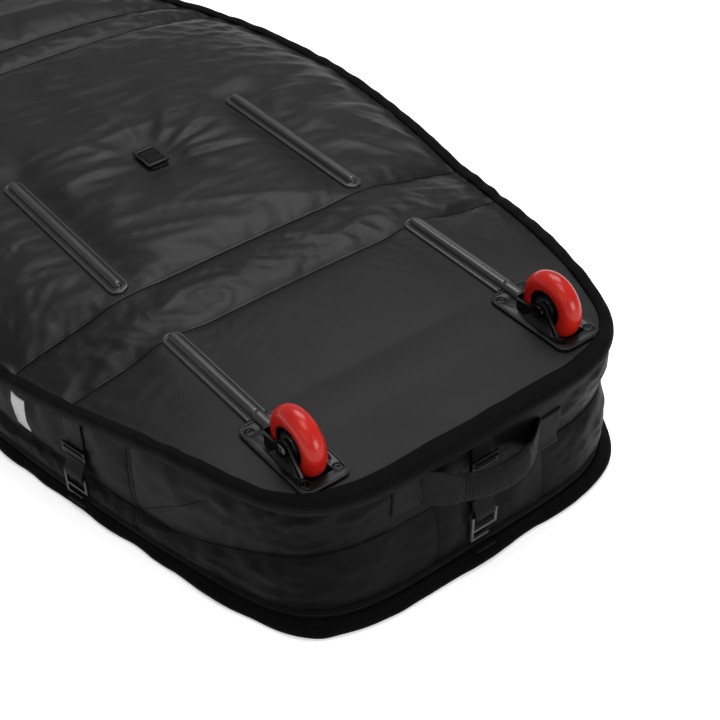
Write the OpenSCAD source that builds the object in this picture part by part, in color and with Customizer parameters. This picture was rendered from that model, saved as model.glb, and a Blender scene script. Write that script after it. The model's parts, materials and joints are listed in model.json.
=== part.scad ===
// Wheeled padded board bag, lying on its lid with the wheels up.
// +X runs to the tail with the wheels, +Z up. The origin is under the middle, on the floor.

/* [Outline of the base rim] */
// Half of the width at the widest place
half_width = 327; // [322:1:332]
// Where the bag is widest, along X
wide_x = 10; // [0:1:20]
// Length from the widest place to the nose tip
nose_reach = 660; // [650:1:660]
// Power that makes the nose blunt or pointed
nose_power = 0.725; // [0.65:0.005:0.8]
// How much the side narrows from the widest place to the corner
tail_taper = 105; // [90:1:115]
// Where the tail corners start, along X
corner_x = 500; // [490:1:510]
// Where the tail ends, along X
tail_x = 646; // [644:1:648]

/* [Heights] */
// Height of the base panel's edge at the nose
nose_edge_z = 70; // [66:1:74]
// Height that the edge gains from the nose to the deep part
nose_rise = 40; // [36:1:44]
// Height that the edge gains over the deep tail part
tail_rise = 53; // [50:1:54]
// Height of the parting plane between the lid and the bag
split_z = 16; // [16:1:18]
// Height of the seam between the two wall bands at the tail
mid_seam_z = 96; // [90:1:98]

/* [Seams of the base] */
// Seam between the wheel panel and the tail strip
seam_1_x = 352; // [350:1:353]
// Seam between the tail strip and the middle panel
seam_2_x = 262; // [258:1:262]
// Seam between the middle panel and the nose strip
seam_3_x = -255; // [-270:1:-240]
// Seam between the nose strip and the nose panel
seam_4_x = -310; // [-330:1:-300]

/* [Thicknesses] */
// Coated shell fabric and its backing
shell_t = 4; // [3:0.5:4]
// Foam pad
foam_t = 7; // [5:0.5:7]
// Plastic board under the wheel panel
board_t = 2.5; // [2:0.5:2.5]
// Padded side wall
wall_t = 7; // [5:0.5:7]
// Polyester webbing
webbing_t = 2; // [1.5:0.1:2]

/* [Wheels] */
// Outer radius of a wheel
wheel_r = 36; // [35:0.5:36]
// Width of a wheel
wheel_w = 24; // [22:0.5:24]
// Half of the track
half_track = 154; // [150:1:158]
// Axle position along X
axle_x = 572; // [568:1:574]
// Axle height over the wheel panel
axle_rise = 22; // [22:0.5:23]
// Radius of the axle bolt
axle_r = 4; // [3.9:0.05:4]
// Slope of the wheel panel, in degrees
deck_tilt = 3.43; // [3.4:0.01:3.5]

/* [Wheel housing] */
// Length of the base plate
plate_l = 113; // [112:1:114]
// Width of the base plate
plate_w = 54; // [53:1:55]
// Thickness of the base plate
plate_t = 3; // [3:0.1:3.2]
// Screw spacing along the bag
screw_dx = 88; // [87:1:88]
// Screw spacing across the bag
screw_dy = 37; // [37:0.5:38]
// Radius of a screw hole
screw_hole_r = 2.75; // [2.7:0.05:2.8]

/* [Skids] */
// Width of a skid's flange
skid_w = 23; // [22:1:24]
// Height of a skid's rounded ridge
skid_h = 9; // [8:0.5:9]
// Length of the rail in front of a wheel
rail_l = 150; // [145:1:150]
// Length of a middle skid
mid_skid_l = 262; // [255:1:264]
// Half of the distance between the middle skids
mid_skid_y = 152; // [148:1:156]

/* [Webbing] */
// Width of the compression straps
strap_w = 25; // [22:1:25]
// Width of the tail handle's webbing
handle_w = 50; // [46:1:50]
// Furthest point of both end handles, along X
handle_reach = 680; // [678:1:682]

/* [Hidden] */

gap = 0.3;
left = -1;
right = 1;
sides = [left, right];
deck_ref_x = 560;
deck_ref_z = nose_edge_z + nose_rise + tail_rise + 0.5;
crown_power = 3;
edge_flat = 14;
tail_spread = 1.7;
corner_power = 5;
side_seam_z = 46;
screw_mid = 11;
wall_bottom_d = 6;
flange_d = 14;
wall_bottom_z = split_z + 8;
stack_board = shell_t + gap;
stack_foam = stack_board + board_t + gap;
stack_lining = stack_foam + foam_t + gap;
lining_t = 1.2;
axle_z = deck_ref_z + (axle_x - deck_ref_x) * tan(deck_tilt) + axle_rise / cos(deck_tilt);

// Smooth step from 0 to 1
function ease(t) = let (c = min(1, max(0, t))) c * c * (3 - 2 * c);

// Half width of the outline grown outwards by d, at a place along X
function half_at(x, d = 0) =
    x < wide_x
    ? (half_width + d) * pow(max(0, 1 - pow((wide_x - x) / (nose_reach + d), 2)), nose_power)
    : (half_width + d - tail_taper * pow((x - wide_x) / 551, 1.7))
        * pow(max(0, 1 - pow(max(0, x - corner_x) / (tail_x + tail_spread * d - corner_x), corner_power)),
            1 / corner_power);

// Stations along X, close together where the outline turns
function stations(d = 0) = concat(
    [for (t = [3:6:87]) wide_x - (nose_reach + d) * cos(t)],
    [for (k = [0:12]) wide_x + (corner_x - wide_x) * k / 12],
    [for (t = [2, 5, 10, 17, 25, 34, 44, 54, 64, 74, 82, 88])
        corner_x + (tail_x + tail_spread * d - corner_x) * pow(sin(t), 2 / corner_power)]
);
side_n = len(stations());
loop_n = 2 * side_n;
// Station number where the tail segment starts, and where the nose segment ends
tail_i = 25;
nose_i = 8;
all_ks = [for (k = [0:loop_n - 1]) k];

// Stations of the base's sheets: the outline's own, with the seams among them
function between(a, b) = [for (x = stations()) if (x > a + 5 && x < b - 5) x];
deck_stations = concat(
    between(-1e4, seam_4_x), [seam_4_x], between(seam_4_x, seam_3_x), [seam_3_x],
    between(seam_3_x, seam_2_x), [seam_2_x], between(seam_2_x, seam_1_x), [seam_1_x],
    between(seam_1_x, 1e4));

// Point k of the closed outline: right side to the tail, then back along the left side
function loop_pt(k, d) =
    let (i = k < side_n ? k : loop_n - 1 - k, x = stations(d)[i])
    [x, (k < side_n ? 1 : -1) * half_at(x, d)];

// Height of the base panel's edge, of its crown, and of its surface
function edge_z(x) =
    nose_edge_z + nose_rise * min(1, max(0, (x + 650) / 850))
    + tail_rise * ease((x - 200) / 360) + 0.06 * max(0, x - deck_ref_x);
function crown_h(x) =
    x > corner_x ? 0
    : x > seam_1_x ? 23 * (corner_x - x) / (corner_x - seam_1_x)
    : x > seam_2_x ? 23 + 12 * (seam_1_x - x) / (seam_1_x - seam_2_x)
    : x > -300 ? 35 - 6 * ease((seam_2_x - x) / 560)
    : 29 - 29 * ease((-300 - x) / 340);
// Half width inside the flat margin of the base
function inner_half(x) = max(half_at(x, -edge_flat), 0.5 * half_at(x));
function base_z(x, y) =
    edge_z(x) + crown_h(x) * (1 - pow(min(1, abs(y) / inner_half(x)), crown_power));

// Height of the seam between the two wall bands
function seam_z(x) = side_seam_z + (mid_seam_z - side_seam_z) * ease((x - 470) / 170);

// Two triangles for one side of a loft
function quad(a, b, c, d) = [[a, b, c], [a, c, d]];
function flat(list) = [for (group = list) for (item = group) item];

// Band swept along outline points. Each corner is [outward d, share of edge height, share of
// seam height, added height].
module band(ks, corners, closed = false) {
    m = len(corners);
    n = len(ks);
    pts = [for (k = ks) for (c = corners) let (p = loop_pt(k, c[0]))
        [p.x, p.y, c[1] * edge_z(p.x) + c[2] * seam_z(p.x) + c[3]]];
    skin = flat([for (i = [0:(closed ? n - 1 : n - 2)]) for (j = [0:m - 1])
        let (i2 = (i + 1) % n, j2 = (j + 1) % m)
        quad(i * m + j, i * m + j2, i2 * m + j2, i2 * m + j)]);
    caps = closed ? [] : concat(
        [for (j = [1:m - 2]) [0, j + 1, j]],
        [for (j = [1:m - 2]) [(n - 1) * m, (n - 1) * m + j, (n - 1) * m + j + 1]]
    );
    polyhedron(pts, concat(skin, caps), convexity = 6);
}

// Sheet under the crowned base surface, from x0 to x1, from depth top to depth top + t.
// An outer sheet reaches the rim, and an inner one stops at the flat margin.
module base_sheet(x0, x1, top, t, outer = true) {
    xs = concat([x0], [for (x = deck_stations) if (x > x0 + 4 && x < x1 - 4) x], [x1]);
    shares = [-1, -0.9, -0.75, -0.55, -0.35, -0.12, 0.12, 0.35, 0.55, 0.75, 0.9, 1];
    cross = outer ? concat([-2], shares, [2]) : shares;
    m = len(cross);
    n = len(xs);
    function y_at(x, s) = abs(s) > 1 ? sign(s) * half_at(x) : s * inner_half(x);
    upper = [for (x = xs) for (s = cross) [x, y_at(x, s), base_z(x, y_at(x, s)) - top]];
    lower = [for (x = xs) for (s = cross) [x, y_at(x, s), base_z(x, y_at(x, s)) - top - t]];
    o = n * m;
    skin = flat([for (i = [0:n - 2]) for (j = [0:m - 2])
        let (a = i * m + j, b = a + 1, c = a + m + 1, d = a + m)
        concat(quad(a, b, c, d), quad(o + a, o + d, o + c, o + b))]);
    rims = concat(
        flat([for (i = [0:n - 2]) let (a = i * m, b = a + m) quad(a, b, o + b, o + a)]),
        flat([for (i = [0:n - 2]) let (a = i * m + m - 1, b = a + m) quad(b, a, o + a, o + b)]),
        flat([for (j = [0:m - 2]) quad(j + 1, j, o + j, o + j + 1)]),
        flat([for (j = [0:m - 2]) let (a = (n - 1) * m + j) quad(a, a + 1, o + a + 1, o + a)])
    );
    polyhedron(concat(upper, lower), concat(skin, rims), convexity = 6);
}

// Outline as a flat plate
module plate(d, z0, t) {
    translate([0, 0, z0]) linear_extrude(t)
        polygon([for (k = [0:loop_n - 1]) loop_pt(k, d)]);
}

// Places children on the wheel panel under the axle, X along the panel
module on_deck(side) {
    translate([axle_x, side * half_track, axle_z])
        rotate([0, -deck_tilt, 0]) translate([0, 0, -axle_rise]) children();
}
// The same, mirrored so that both wheel units are left- and right-handed
module each_deck() {
    for (s = sides) on_deck(s) mirror([0, s < 0 ? 1 : 0, 0]) children();
}
module rod_y(r, l, h = 0) {
    translate([0, h, 0]) rotate([90, 0, 0]) cylinder(r = r, h = l, center = true, $fn = 48);
}
module ring_y(r_out, r_in, l, h = 0) {
    difference() {
        rod_y(r_out, l, h);
        rod_y(r_in, l + 2, h);
    }
}

// ---------- lid ----------
module lid_panel() { color("#1d1e20") plate(wall_bottom_d, 0, 8); }
module lid_foam() { color("#3a3b3d") plate(-wall_t - 3, 8 + gap, foam_t); }
module lid_binding() {
    color("#0c0c0d") band(all_ks, [
        [wall_bottom_d + gap, 0, 0, 1], [flange_d, 0, 0, 1],
        [flange_d, 0, 0, 6], [wall_bottom_d + gap, 0, 0, 12]], true);
}
module zipper_lid_tape() {
    color("#101011") band(all_ks, [
        [-1, 0, 0, 8 + gap], [wall_bottom_d - 1, 0, 0, 8 + gap],
        [wall_bottom_d - 1, 0, 0, split_z - gap], [-1, 0, 0, split_z - gap]], true);
}
loop_h = 3;
module hook_loop() {
    difference() {
        translate([8, -strap_w / 2, 0]) cube([7, strap_w, loop_h]);
        translate([10, -strap_w / 2 + 3, -1]) cube([3, strap_w - 6, loop_h + 2]);
    }
}
module lid_hook_loops() {
    color("#141415") translate([0, 0, 12 + gap]) {
        on_tail_wall() translate([4, 0, 0]) hook_loop();
        for (s = sides) on_side_wall(s) translate([-1.4, 0, 0]) hook_loop();
    }
}

// ---------- base ----------
module wheel_cuts() {
    each_deck() {
        translate([-42.5, -18, -60]) cube([80.5, 36, 80]);
        screw_places() translate([0, 0, -60]) cylinder(r = screw_hole_r + 0.5, h = 80, $fn = 24);
    }
}
module base_tail_panel() {
    color("#37383a") difference() {
        base_sheet(seam_1_x + gap / 2, tail_x - 0.05, 0, shell_t);
        wheel_cuts();
    }
}
module base_tail_strip() {
    color("#35363a") base_sheet(seam_2_x + gap / 2, seam_1_x - gap / 2, 0, shell_t);
}
module base_mid_panel() {
    color("#38393b") base_sheet(seam_3_x + gap / 2, seam_2_x - gap / 2, 0, shell_t);
}
module base_nose_strip() {
    color("#35363a") base_sheet(seam_4_x + gap / 2, seam_3_x - gap / 2, 0, shell_t);
}
module base_nose_panel() {
    color("#38393b") base_sheet(wide_x - nose_reach + 1, seam_4_x - gap / 2, 0, shell_t);
}
inner_start_x = wide_x - nose_reach + edge_flat + 6;
inner_end_x = tail_x - tail_spread * edge_flat - 3;
module tail_board() {
    color("#202224") difference() {
        base_sheet(seam_1_x + gap / 2, inner_end_x, stack_board, board_t, false);
        wheel_cuts();
    }
}
module base_foam() {
    color("#55575a") difference() {
        base_sheet(inner_start_x, inner_end_x, stack_foam, foam_t, false);
        wheel_cuts();
        each_deck() translate([-72, -32, -60]) cube([124, 64, 80]);
    }
}
module base_lining() {
    color("#2a2b2d") difference() {
        base_sheet(inner_start_x, inner_end_x, stack_lining, lining_t, false);
        each_deck() translate([-72, -32, -60]) cube([124, 64, 80]);
    }
}
module base_binding() {
    color("#0d0d0e") difference() {
        band(all_ks, [
            [1.2, 1, 0, -12], [4.2, 1, 0, -12], [4.6, 1, 0, 4],
            [-6, 1, 0, 5], [-6.5, 1, 0, 0.7], [1.2, 1, 0, 0.7]], true);
        each_deck() rounded_plate(plate_x0 - 1, plate_l + 2, plate_w + 2, 12, 20);
    }
}
module zipper_base_tape() {
    color("#101011") band(all_ks, [
        [-1, 0, 0, split_z + gap], [wall_bottom_d - 1, 0, 0, split_z + gap],
        [wall_bottom_d - 1, 0, 0, wall_bottom_z - gap], [-1, 0, 0, wall_bottom_z - gap]], true);
}

// ---------- side walls ----------
upper_section = [
    [-wall_t, 0, 1, gap / 2], [0, 0, 1, gap / 2],
    [0, 1, 0, -shell_t - 2 * gap], [-wall_t, 1, 0, -shell_t - 2 * gap]];
lower_section = [
    [-wall_t, 0, 0, wall_bottom_z], [wall_bottom_d, 0, 0, wall_bottom_z],
    [0, 0, 1, -gap / 2], [-wall_t, 0, 1, -gap / 2]];
tail_ks = [tail_i:loop_n - 1 - tail_i];
right_ks = [nose_i:tail_i];
left_ks = [loop_n - 1 - tail_i:loop_n - 1 - nose_i];
nose_ks = concat([for (k = [loop_n - 1 - nose_i:loop_n - 1]) k], [for (k = [0:nose_i]) k]);
module wall_part(ks, section) { color("#1c1c1e") band([for (k = ks) k], section); }
module upper_wall_tail() { wall_part(tail_ks, upper_section); }
module upper_wall_left() { wall_part(left_ks, upper_section); }
module upper_wall_right() { wall_part(right_ks, upper_section); }
module upper_wall_nose() { wall_part(nose_ks, upper_section); }
module lower_wall_tail() { wall_part(tail_ks, lower_section); }
module lower_wall_left() { wall_part(left_ks, lower_section); }
module lower_wall_right() { wall_part(right_ks, lower_section); }
module lower_wall_nose() { wall_part(nose_ks, lower_section); }

// ---------- skids ----------
module skid(l) {
    ridge_w = 12;
    linear_extrude(2.2) union() {
        translate([0, -skid_w / 2]) square([l, skid_w]);
        circle(d = skid_w, $fn = 48);
        translate([l, 0]) circle(d = skid_w, $fn = 48);
    }
    translate([0, 0, 2]) intersection() {
        translate([0, 0, skid_h - 2 - ridge_w / 2]) rotate([0, 90, 0])
            cylinder(d = ridge_w, h = l, $fn = 48);
        translate([0, -ridge_w / 2, 0]) cube([l, ridge_w, skid_h]);
    }
}
module wheel_rail(side) {
    color("#1a1b1d") on_deck(side) translate([-67.5 - rail_l + 9, 0, 2 * gap]) difference() {
        skid(rail_l - 9);
        translate([rail_l - 9, -skid_w, -1]) cube([skid_w, 2 * skid_w, 20]);
    }
}
module wheel_rail_left() { wheel_rail(left); }
module wheel_rail_right() { wheel_rail(right); }
mid_skid_x = -8;
mid_skid_z = base_z(mid_skid_x, mid_skid_y) + 1.2;
mid_skid_tilt = atan((base_z(seam_2_x - 6, mid_skid_y) + 1.2 - mid_skid_z) / (seam_2_x - 6 - mid_skid_x));
module mid_skid(side) {
    color("#1a1b1d") translate([mid_skid_x, side * mid_skid_y, mid_skid_z])
        rotate([-side * 4, -mid_skid_tilt, 0])
        translate([skid_w / 2, 0, 0]) skid(mid_skid_l - skid_w);
}
module mid_skid_left() { mid_skid(left); }
module mid_skid_right() { mid_skid(right); }

// ---------- wheel housings ----------
plate_x0 = -67;
slot_x0 = -38.5;
slot_x1 = 33.6;
ear_y = 13.3;
ear_t = 3;
nose_wall_h = 16;
cup_r = wheel_r + 2.5;
cup_t = 2;
head_r = 4.2;
module screw_places() {
    for (x = [-screw_mid - screw_dx / 2, -screw_mid + screw_dx / 2]) for (s = sides)
        translate([x, s * screw_dy / 2, 0]) children();
}
module rounded_plate(x0, l, w, r, t) {
    linear_extrude(t) union() {
        translate([x0 + r, -w / 2]) square([l - 2 * r, w]);
        translate([x0, -w / 2 + r]) square([l, w - 2 * r]);
        for (x = [x0 + r, x0 + l - r]) for (s = sides)
            translate([x, s * (w / 2 - r)]) circle(r = r, $fn = 48);
    }
}
module ear() {
    rotate([90, 0, 0]) linear_extrude(ear_t, center = true) union() {
        polygon([
            [slot_x0 + 6, 0], [slot_x0 + 6, nose_wall_h], [-16, nose_wall_h + 2], [-6, 27.5],
            [6, 27.5], [24, 5], [27, 0]]);
        translate([0, axle_rise]) circle(r = 8, $fn = 48);
    }
}
module nose_wall() {
    r = 8;
    difference() {
        rounded_plate(slot_x0 - ear_t, 40, 2 * ear_y + 2 * ear_t, r + ear_t, nose_wall_h);
        translate([0, 0, -1]) rounded_plate(slot_x0, 60, 2 * ear_y, r, nose_wall_h + 2);
        translate([slot_x0 + 12, -30, -1]) cube([60, 60, nose_wall_h + 2]);
    }
}
module wheel_housing() {
    color("#141517") difference() {
        union() {
            translate([0, 0, gap]) rounded_plate(plate_x0, plate_l, plate_w, 11, plate_t);
            nose_wall();
            for (s = sides) translate([0, s * (ear_y + ear_t / 2), 0]) ear();
            intersection() {
                translate([0, 0, axle_rise]) rod_y(cup_r + cup_t, 2 * (ear_y + cup_t));
                translate([-60, -30, -30]) cube([120, 60, 32]);
            }
        }
        translate([0, 0, axle_rise]) rod_y(cup_r, 2 * ear_y);
        translate([slot_x0, -ear_y, 0]) cube([slot_x1 - slot_x0, 2 * ear_y, 30]);
        translate([0, 0, axle_rise]) rod_y(axle_r + 0.05, 60);
        screw_places() {
            translate([0, 0, -1]) cylinder(r = screw_hole_r, h = 10, $fn = 32);
            translate([0, 0, 1.6 + gap]) cylinder(r = head_r + 0.4, h = 5, $fn = 32);
        }
    }
}
module wheel_housing_left() { on_deck(left) mirror([0, 1, 0]) wheel_housing(); }
module wheel_housing_right() { on_deck(right) wheel_housing(); }
backing_z = -stack_lining - lining_t + 4;
module backing_plates() {
    color("#7a7c80") each_deck() difference() {
        translate([0, 0, backing_z - 2]) rounded_plate(plate_x0 + 4, plate_l - 10, plate_w - 8, 8, 2);
        translate([slot_x0 - 4, -ear_y - 4, backing_z - 4])
            cube([slot_x1 - slot_x0 + 8, 2 * ear_y + 8, 8]);
        screw_places() translate([0, 0, backing_z - 4]) cylinder(r = screw_hole_r, h = 8, $fn = 32);
    }
}
module housing_screws() {
    color("#26272a") each_deck() screw_places() difference() {
        union() {
            translate([0, 0, 1.6 + gap]) cylinder(r = head_r, h = 1.8, $fn = 32);
            translate([0, 0, backing_z - 8]) cylinder(r = 2.5, h = 8 - backing_z + 2, $fn = 32);
        }
        translate([0, 0, 2.4]) cylinder(r = 1.7, h = 3, $fn = 6);
    }
}
module housing_nuts() {
    color("#8d8f93") each_deck() screw_places() difference() {
        translate([0, 0, backing_z - 6.2]) cylinder(r = 4, h = 4.1, $fn = 6);
        translate([0, 0, backing_z - 7]) cylinder(r = 2.53, h = 6, $fn = 32);
    }
}

// ---------- wheels ----------
bearing_r = 11;
bearing_w = 7;
bearing_y = 8.3;
hub_r = 20;
module on_axle(side) { on_deck(side) translate([0, 0, axle_rise]) children(); }
module tyre(side) {
    color("#d21f16") on_axle(side) rotate([90, 0, 0]) rotate_extrude($fn = 96) difference() {
        union() {
            translate([wheel_r - wheel_w / 2, 0]) circle(r = wheel_w / 2, $fn = 48);
            translate([hub_r + 0.05, -wheel_w / 2 + 1]) square([6, wheel_w - 2]);
        }
        translate([0, -wheel_w]) square([hub_r + 0.05, 2 * wheel_w]);
    }
}
module tyre_left() { tyre(left); }
module tyre_right() { tyre(right); }
spokes = 8;
module hub(side) {
    barrel_r = bearing_r + 2.6;
    color("#111214") on_axle(side) difference() {
        union() {
            ring_y(hub_r, hub_r - 2.6, wheel_w - 2);
            rod_y(barrel_r, wheel_w - 1);
            for (k = [0:spokes - 1]) rotate([0, k * 360 / spokes, 0])
                translate([barrel_r - 1, -wheel_w / 2 + 4, -1.4]) cube([hub_r - barrel_r, wheel_w - 8, 2.8]);
        }
        rod_y(bearing_r - 1.5, wheel_w + 4);
        for (s = sides) rod_y(bearing_r, bearing_w + 2, s * (bearing_y + 1));
    }
}
module hub_left() { hub(left); }
module hub_right() { hub(right); }
module bearings(side) {
    color("#a9abae") on_axle(side) for (s = sides)
        ring_y(bearing_r - 0.02, axle_r + 0.03, bearing_w - 0.1, s * bearing_y);
}
module bearings_left() { bearings(left); }
module bearings_right() { bearings(right); }
module spacer(side) {
    color("#9a9ca0") on_axle(side) ring_y(6, axle_r + 0.03, 2 * bearing_y - bearing_w - 0.2);
}
module spacer_left() { spacer(left); }
module spacer_right() { spacer(right); }
bolt_end = ear_y + ear_t;
module axle_bolts() {
    color("#2c2d30") for (s = sides) on_axle(s) mirror([0, s < 0 ? 1 : 0, 0]) difference() {
        union() {
            rod_y(axle_r, 2 * bolt_end + 7, 2.8);
            rod_y(6.5, 3.6, -bolt_end - 2.1);
        }
        rod_y(2.4, 4, -bolt_end - 3.8);
    }
}
module axle_nuts() {
    color("#2c2d30") for (s = sides) on_axle(s) mirror([0, s < 0 ? 1 : 0, 0])
        translate([0, bolt_end + 2.9, 0]) rotate([90, 0, 0]) difference() {
            cylinder(r = 7, h = 5, center = true, $fn = 6);
            cylinder(r = axle_r + 0.03, h = 8, center = true, $fn = 48);
        }
}

// ---------- keeper on the middle panel ----------
keeper_x = 56;
keeper_z = base_z(keeper_x, 0) + 0.6;
module at_keeper() { translate([keeper_x, 0, keeper_z]) rotate([0, -2.4, 0]) children(); }
module keeper_ladder() {
    color("#101113") at_keeper() translate([0, 0, 2.6]) difference() {
        translate([-19, -14, 0]) cube([38, 28, 3]);
        for (x = [-14, -3.5, 7]) translate([x, -10.5, -1]) cube([7, 21, 5]);
    }
}
module keeper_webbing() {
    color("#0f1011") at_keeper() {
        for (x = [-26, 13]) translate([x, -strap_w / 2, 0]) cube([13, strap_w, webbing_t]);
        translate([-13, -strap_w / 2, 0]) cube([26, strap_w, webbing_t]);
    }
}

// ---------- webbing on the walls ----------
side_strap_x = 365;
module on_tail_wall() { translate([tail_x, 0, 0]) children(); }
// X outwards from the side wall at a place along the bag, Y along the wall
module on_wall(x, side) {
    turn = atan((half_at(x - 5) - half_at(x + 5)) / 10);
    translate([x, side * half_at(x), 0]) rotate([0, 0, side * (90 - turn)]) children();
}
module on_side_wall(side) { on_wall(side_strap_x, side) children(); }
// Strap lying on a wall that leans outwards by lean from z1 down to z0, with a loop at its foot
module strap(z0, z1, r0, r1) {
    rotate([90, 0, 0]) linear_extrude(strap_w, center = true)
        polygon([[r0, z0], [r0 + webbing_t, z0], [r1 + webbing_t, z1], [r1, z1]]);
    translate([r0 + 3.1, 0, z0 - 3]) ring_y(3.8, 1.9, strap_w);
}
// Flat hook: bar, frame and open foot. The origin is at the middle of its bar
module hook_plate() {
    w = strap_w + 7;
    rod_y(1.5, w);
    for (s = sides) translate([-1.5, s * (w / 2 - 1.5) - 1.5, -17]) cube([3, 3, 17]);
    translate([-1.5, -w / 2, -19]) cube([3, w, 3]);
    translate([-1.5, -w / 2, -29]) cube([3, 3, 11]);
    translate([-1.5, -w / 2, -31]) cube([3, w * 0.7, 3]);
}
tail_strap_z0 = 62;
tail_lean_0 = 9;
side_strap_z0 = 54;
side_lean_0 = 6.4;
module tail_strap() {
    color("#121314") on_tail_wall()
        strap(tail_strap_z0, edge_z(tail_x) - 13, tail_lean_0, 0.9);
}
module side_strap(side) {
    color("#121314") on_side_wall(side)
        strap(side_strap_z0, edge_z(side_strap_x) - 16, side_lean_0, 0.9);
}
module side_strap_left() { side_strap(left); }
module side_strap_right() { side_strap(right); }
module tail_hook() {
    color("#56585b") on_tail_wall() translate([tail_lean_0 + 3.1, 0, tail_strap_z0 - 3]) hook_plate();
}
module side_hook(side) {
    color("#56585b") on_side_wall(side)
        translate([side_lean_0 + 3.1, 0, side_strap_z0 - 3]) hook_plate();
}
module side_hook_left() { side_hook(left); }
module side_hook_right() { side_hook(right); }

// ---------- tail handle ----------
handle_z = 124;
handle_half = 70;
handle_foot = 5;
handle_rise = handle_reach - tail_x - handle_foot - 2.5;
handle_r = (handle_half * handle_half + handle_rise * handle_rise) / (2 * handle_rise);
module arc_band(r_in, r_out, h, a0, a1, cx, z) {
    translate([cx, 0, z - h / 2]) rotate([0, 0, a0]) rotate_extrude(angle = a1 - a0, $fn = 128)
        translate([r_in, 0]) square([r_out - r_in, h]);
}
handle_cx = tail_x + handle_foot + handle_rise - handle_r;
handle_end = asin(handle_half / handle_r);
grip_end = handle_end * 0.5;
module tail_handle() {
    color("#121314") for (s = [0, 1]) mirror([0, s, 0])
        arc_band(handle_r - 1, handle_r + 1, handle_w, grip_end + 0.2, handle_end, handle_cx, handle_z);
}
module tail_handle_grip() {
    color("#0f1011") arc_band(handle_r - 4.5, handle_r + 2.5, 30, -grip_end, grip_end, handle_cx, handle_z);
}
module tail_handle_anchors() {
    color("#151617") for (s = sides)
        translate([tail_x + 0.4, s * (handle_half + 20) - 15, handle_z - handle_w / 2])
        cube([2.4, 30, handle_w]);
}

// ---------- nose handle ----------
nose_handle_z = 42;
nose_handle_w = 28;
nose_span = 44;
nose_bow = 40;
nose_bow_r = (nose_span * nose_span + nose_bow * nose_bow) / (2 * nose_bow);
nose_cx = handle_reach - 1 - nose_bow_r;
nose_end = acos((nose_bow_r - nose_bow) / nose_bow_r);
module nose_handle() {
    color("#121314") rotate([0, 0, 180])
        arc_band(nose_bow_r - 1, nose_bow_r + 1, nose_handle_w, -nose_end, nose_end, nose_cx, nose_handle_z);
}
module nose_handle_anchors() {
    color("#151617") for (s = sides) on_wall(-608, s)
        translate([6.4, -13, nose_handle_z - nose_handle_w / 2]) cube([2.2, 26, nose_handle_w]);
}

// ---------- reflective patch ----------
patch_x = 283;
module side_patch() {
    color("#c9cbcc") on_wall(patch_x, left) translate([1.9, -11, edge_z(patch_x) - 58]) cube([0.8, 22, 44]);
}

// ---------- inside ----------
tie_xs = [-170, 170];
function tie_z(x) = edge_z(x) - stack_lining - lining_t - 4;
module tie_straps() {
    color("#1b1c1e") for (x = tie_xs) {
        z = tie_z(x);
        l = half_at(x + 19 * sign(x), -wall_t) - 25 - gap;
        for (s = sides) translate([x - 19, s > 0 ? 24 : -24 - l, z]) cube([38, l, webbing_t]);
    }
}
module tie_buckles() {
    color("#131416") for (x = tie_xs) {
        z = tie_z(x);
        difference() {
            translate([x - 24, -24 + gap, z - 3]) cube([48, 48 - 2 * gap, 8]);
            translate([x - 17, -14, z - 4]) cube([34, 6, 10]);
            translate([x - 17, 8, z - 4]) cube([34, 6, 10]);
        }
    }
}

// ---------- zipper slider ----------
slider_x = 10;
slider_y = -half_at(slider_x, wall_bottom_d) - 0.6;
pin_x = slider_x + 5;
pin_y = slider_y - 4.6;
module zipper_slider() {
    color("#3b3d40") {
        translate([slider_x - 8, slider_y - 2.6, split_z + 0.6]) cube([16, 2.6, 6.6]);
        for (z = [0.6, 6.2]) translate([pin_x - 1.2, pin_y - 1, split_z + z]) cube([2.4, 3, 1]);
        translate([pin_x, pin_y, split_z + 0.6]) cylinder(r = 0.8, h = 6.6, $fn = 32);
    }
}
module zipper_pull() {
    color("#1a1b1c") translate([pin_x, pin_y, split_z + 2]) difference() {
        union() {
            cylinder(r = 1.6, h = 3.8, $fn = 32);
            translate([0, -0.8, 0]) cube([26, 1.6, 3.8]);
        }
        translate([0, 0, -1]) cylinder(r = 0.85, h = 6, $fn = 32);
    }
}
lid_panel();
lid_foam();
lid_binding();
zipper_lid_tape();
lid_hook_loops();
base_tail_panel();
base_tail_strip();
base_mid_panel();
base_nose_strip();
base_nose_panel();
tail_board();
base_foam();
base_lining();
base_binding();
zipper_base_tape();
upper_wall_tail();
upper_wall_left();
upper_wall_right();
upper_wall_nose();
lower_wall_tail();
lower_wall_left();
lower_wall_right();
lower_wall_nose();
wheel_rail_left();
wheel_rail_right();
mid_skid_left();
mid_skid_right();
wheel_housing_left();
wheel_housing_right();
backing_plates();
housing_screws();
housing_nuts();
axle_bolts();
axle_nuts();
tyre_left();
hub_left();
bearings_left();
spacer_left();
tyre_right();
hub_right();
bearings_right();
spacer_right();
keeper_ladder();
keeper_webbing();
tail_handle();
tail_handle_grip();
tail_handle_anchors();
tail_strap();
tail_hook();
side_strap_left();
side_strap_right();
side_hook_left();
side_hook_right();
nose_handle();
nose_handle_anchors();
side_patch();
tie_straps();
tie_buckles();
zipper_slider();
zipper_pull();
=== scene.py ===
import bpy, bmesh, json, math
import numpy as np
from mathutils import Vector, Matrix
from mathutils.bvhtree import BVHTree
from mathutils.geometry import delaunay_2d_cdt


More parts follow.
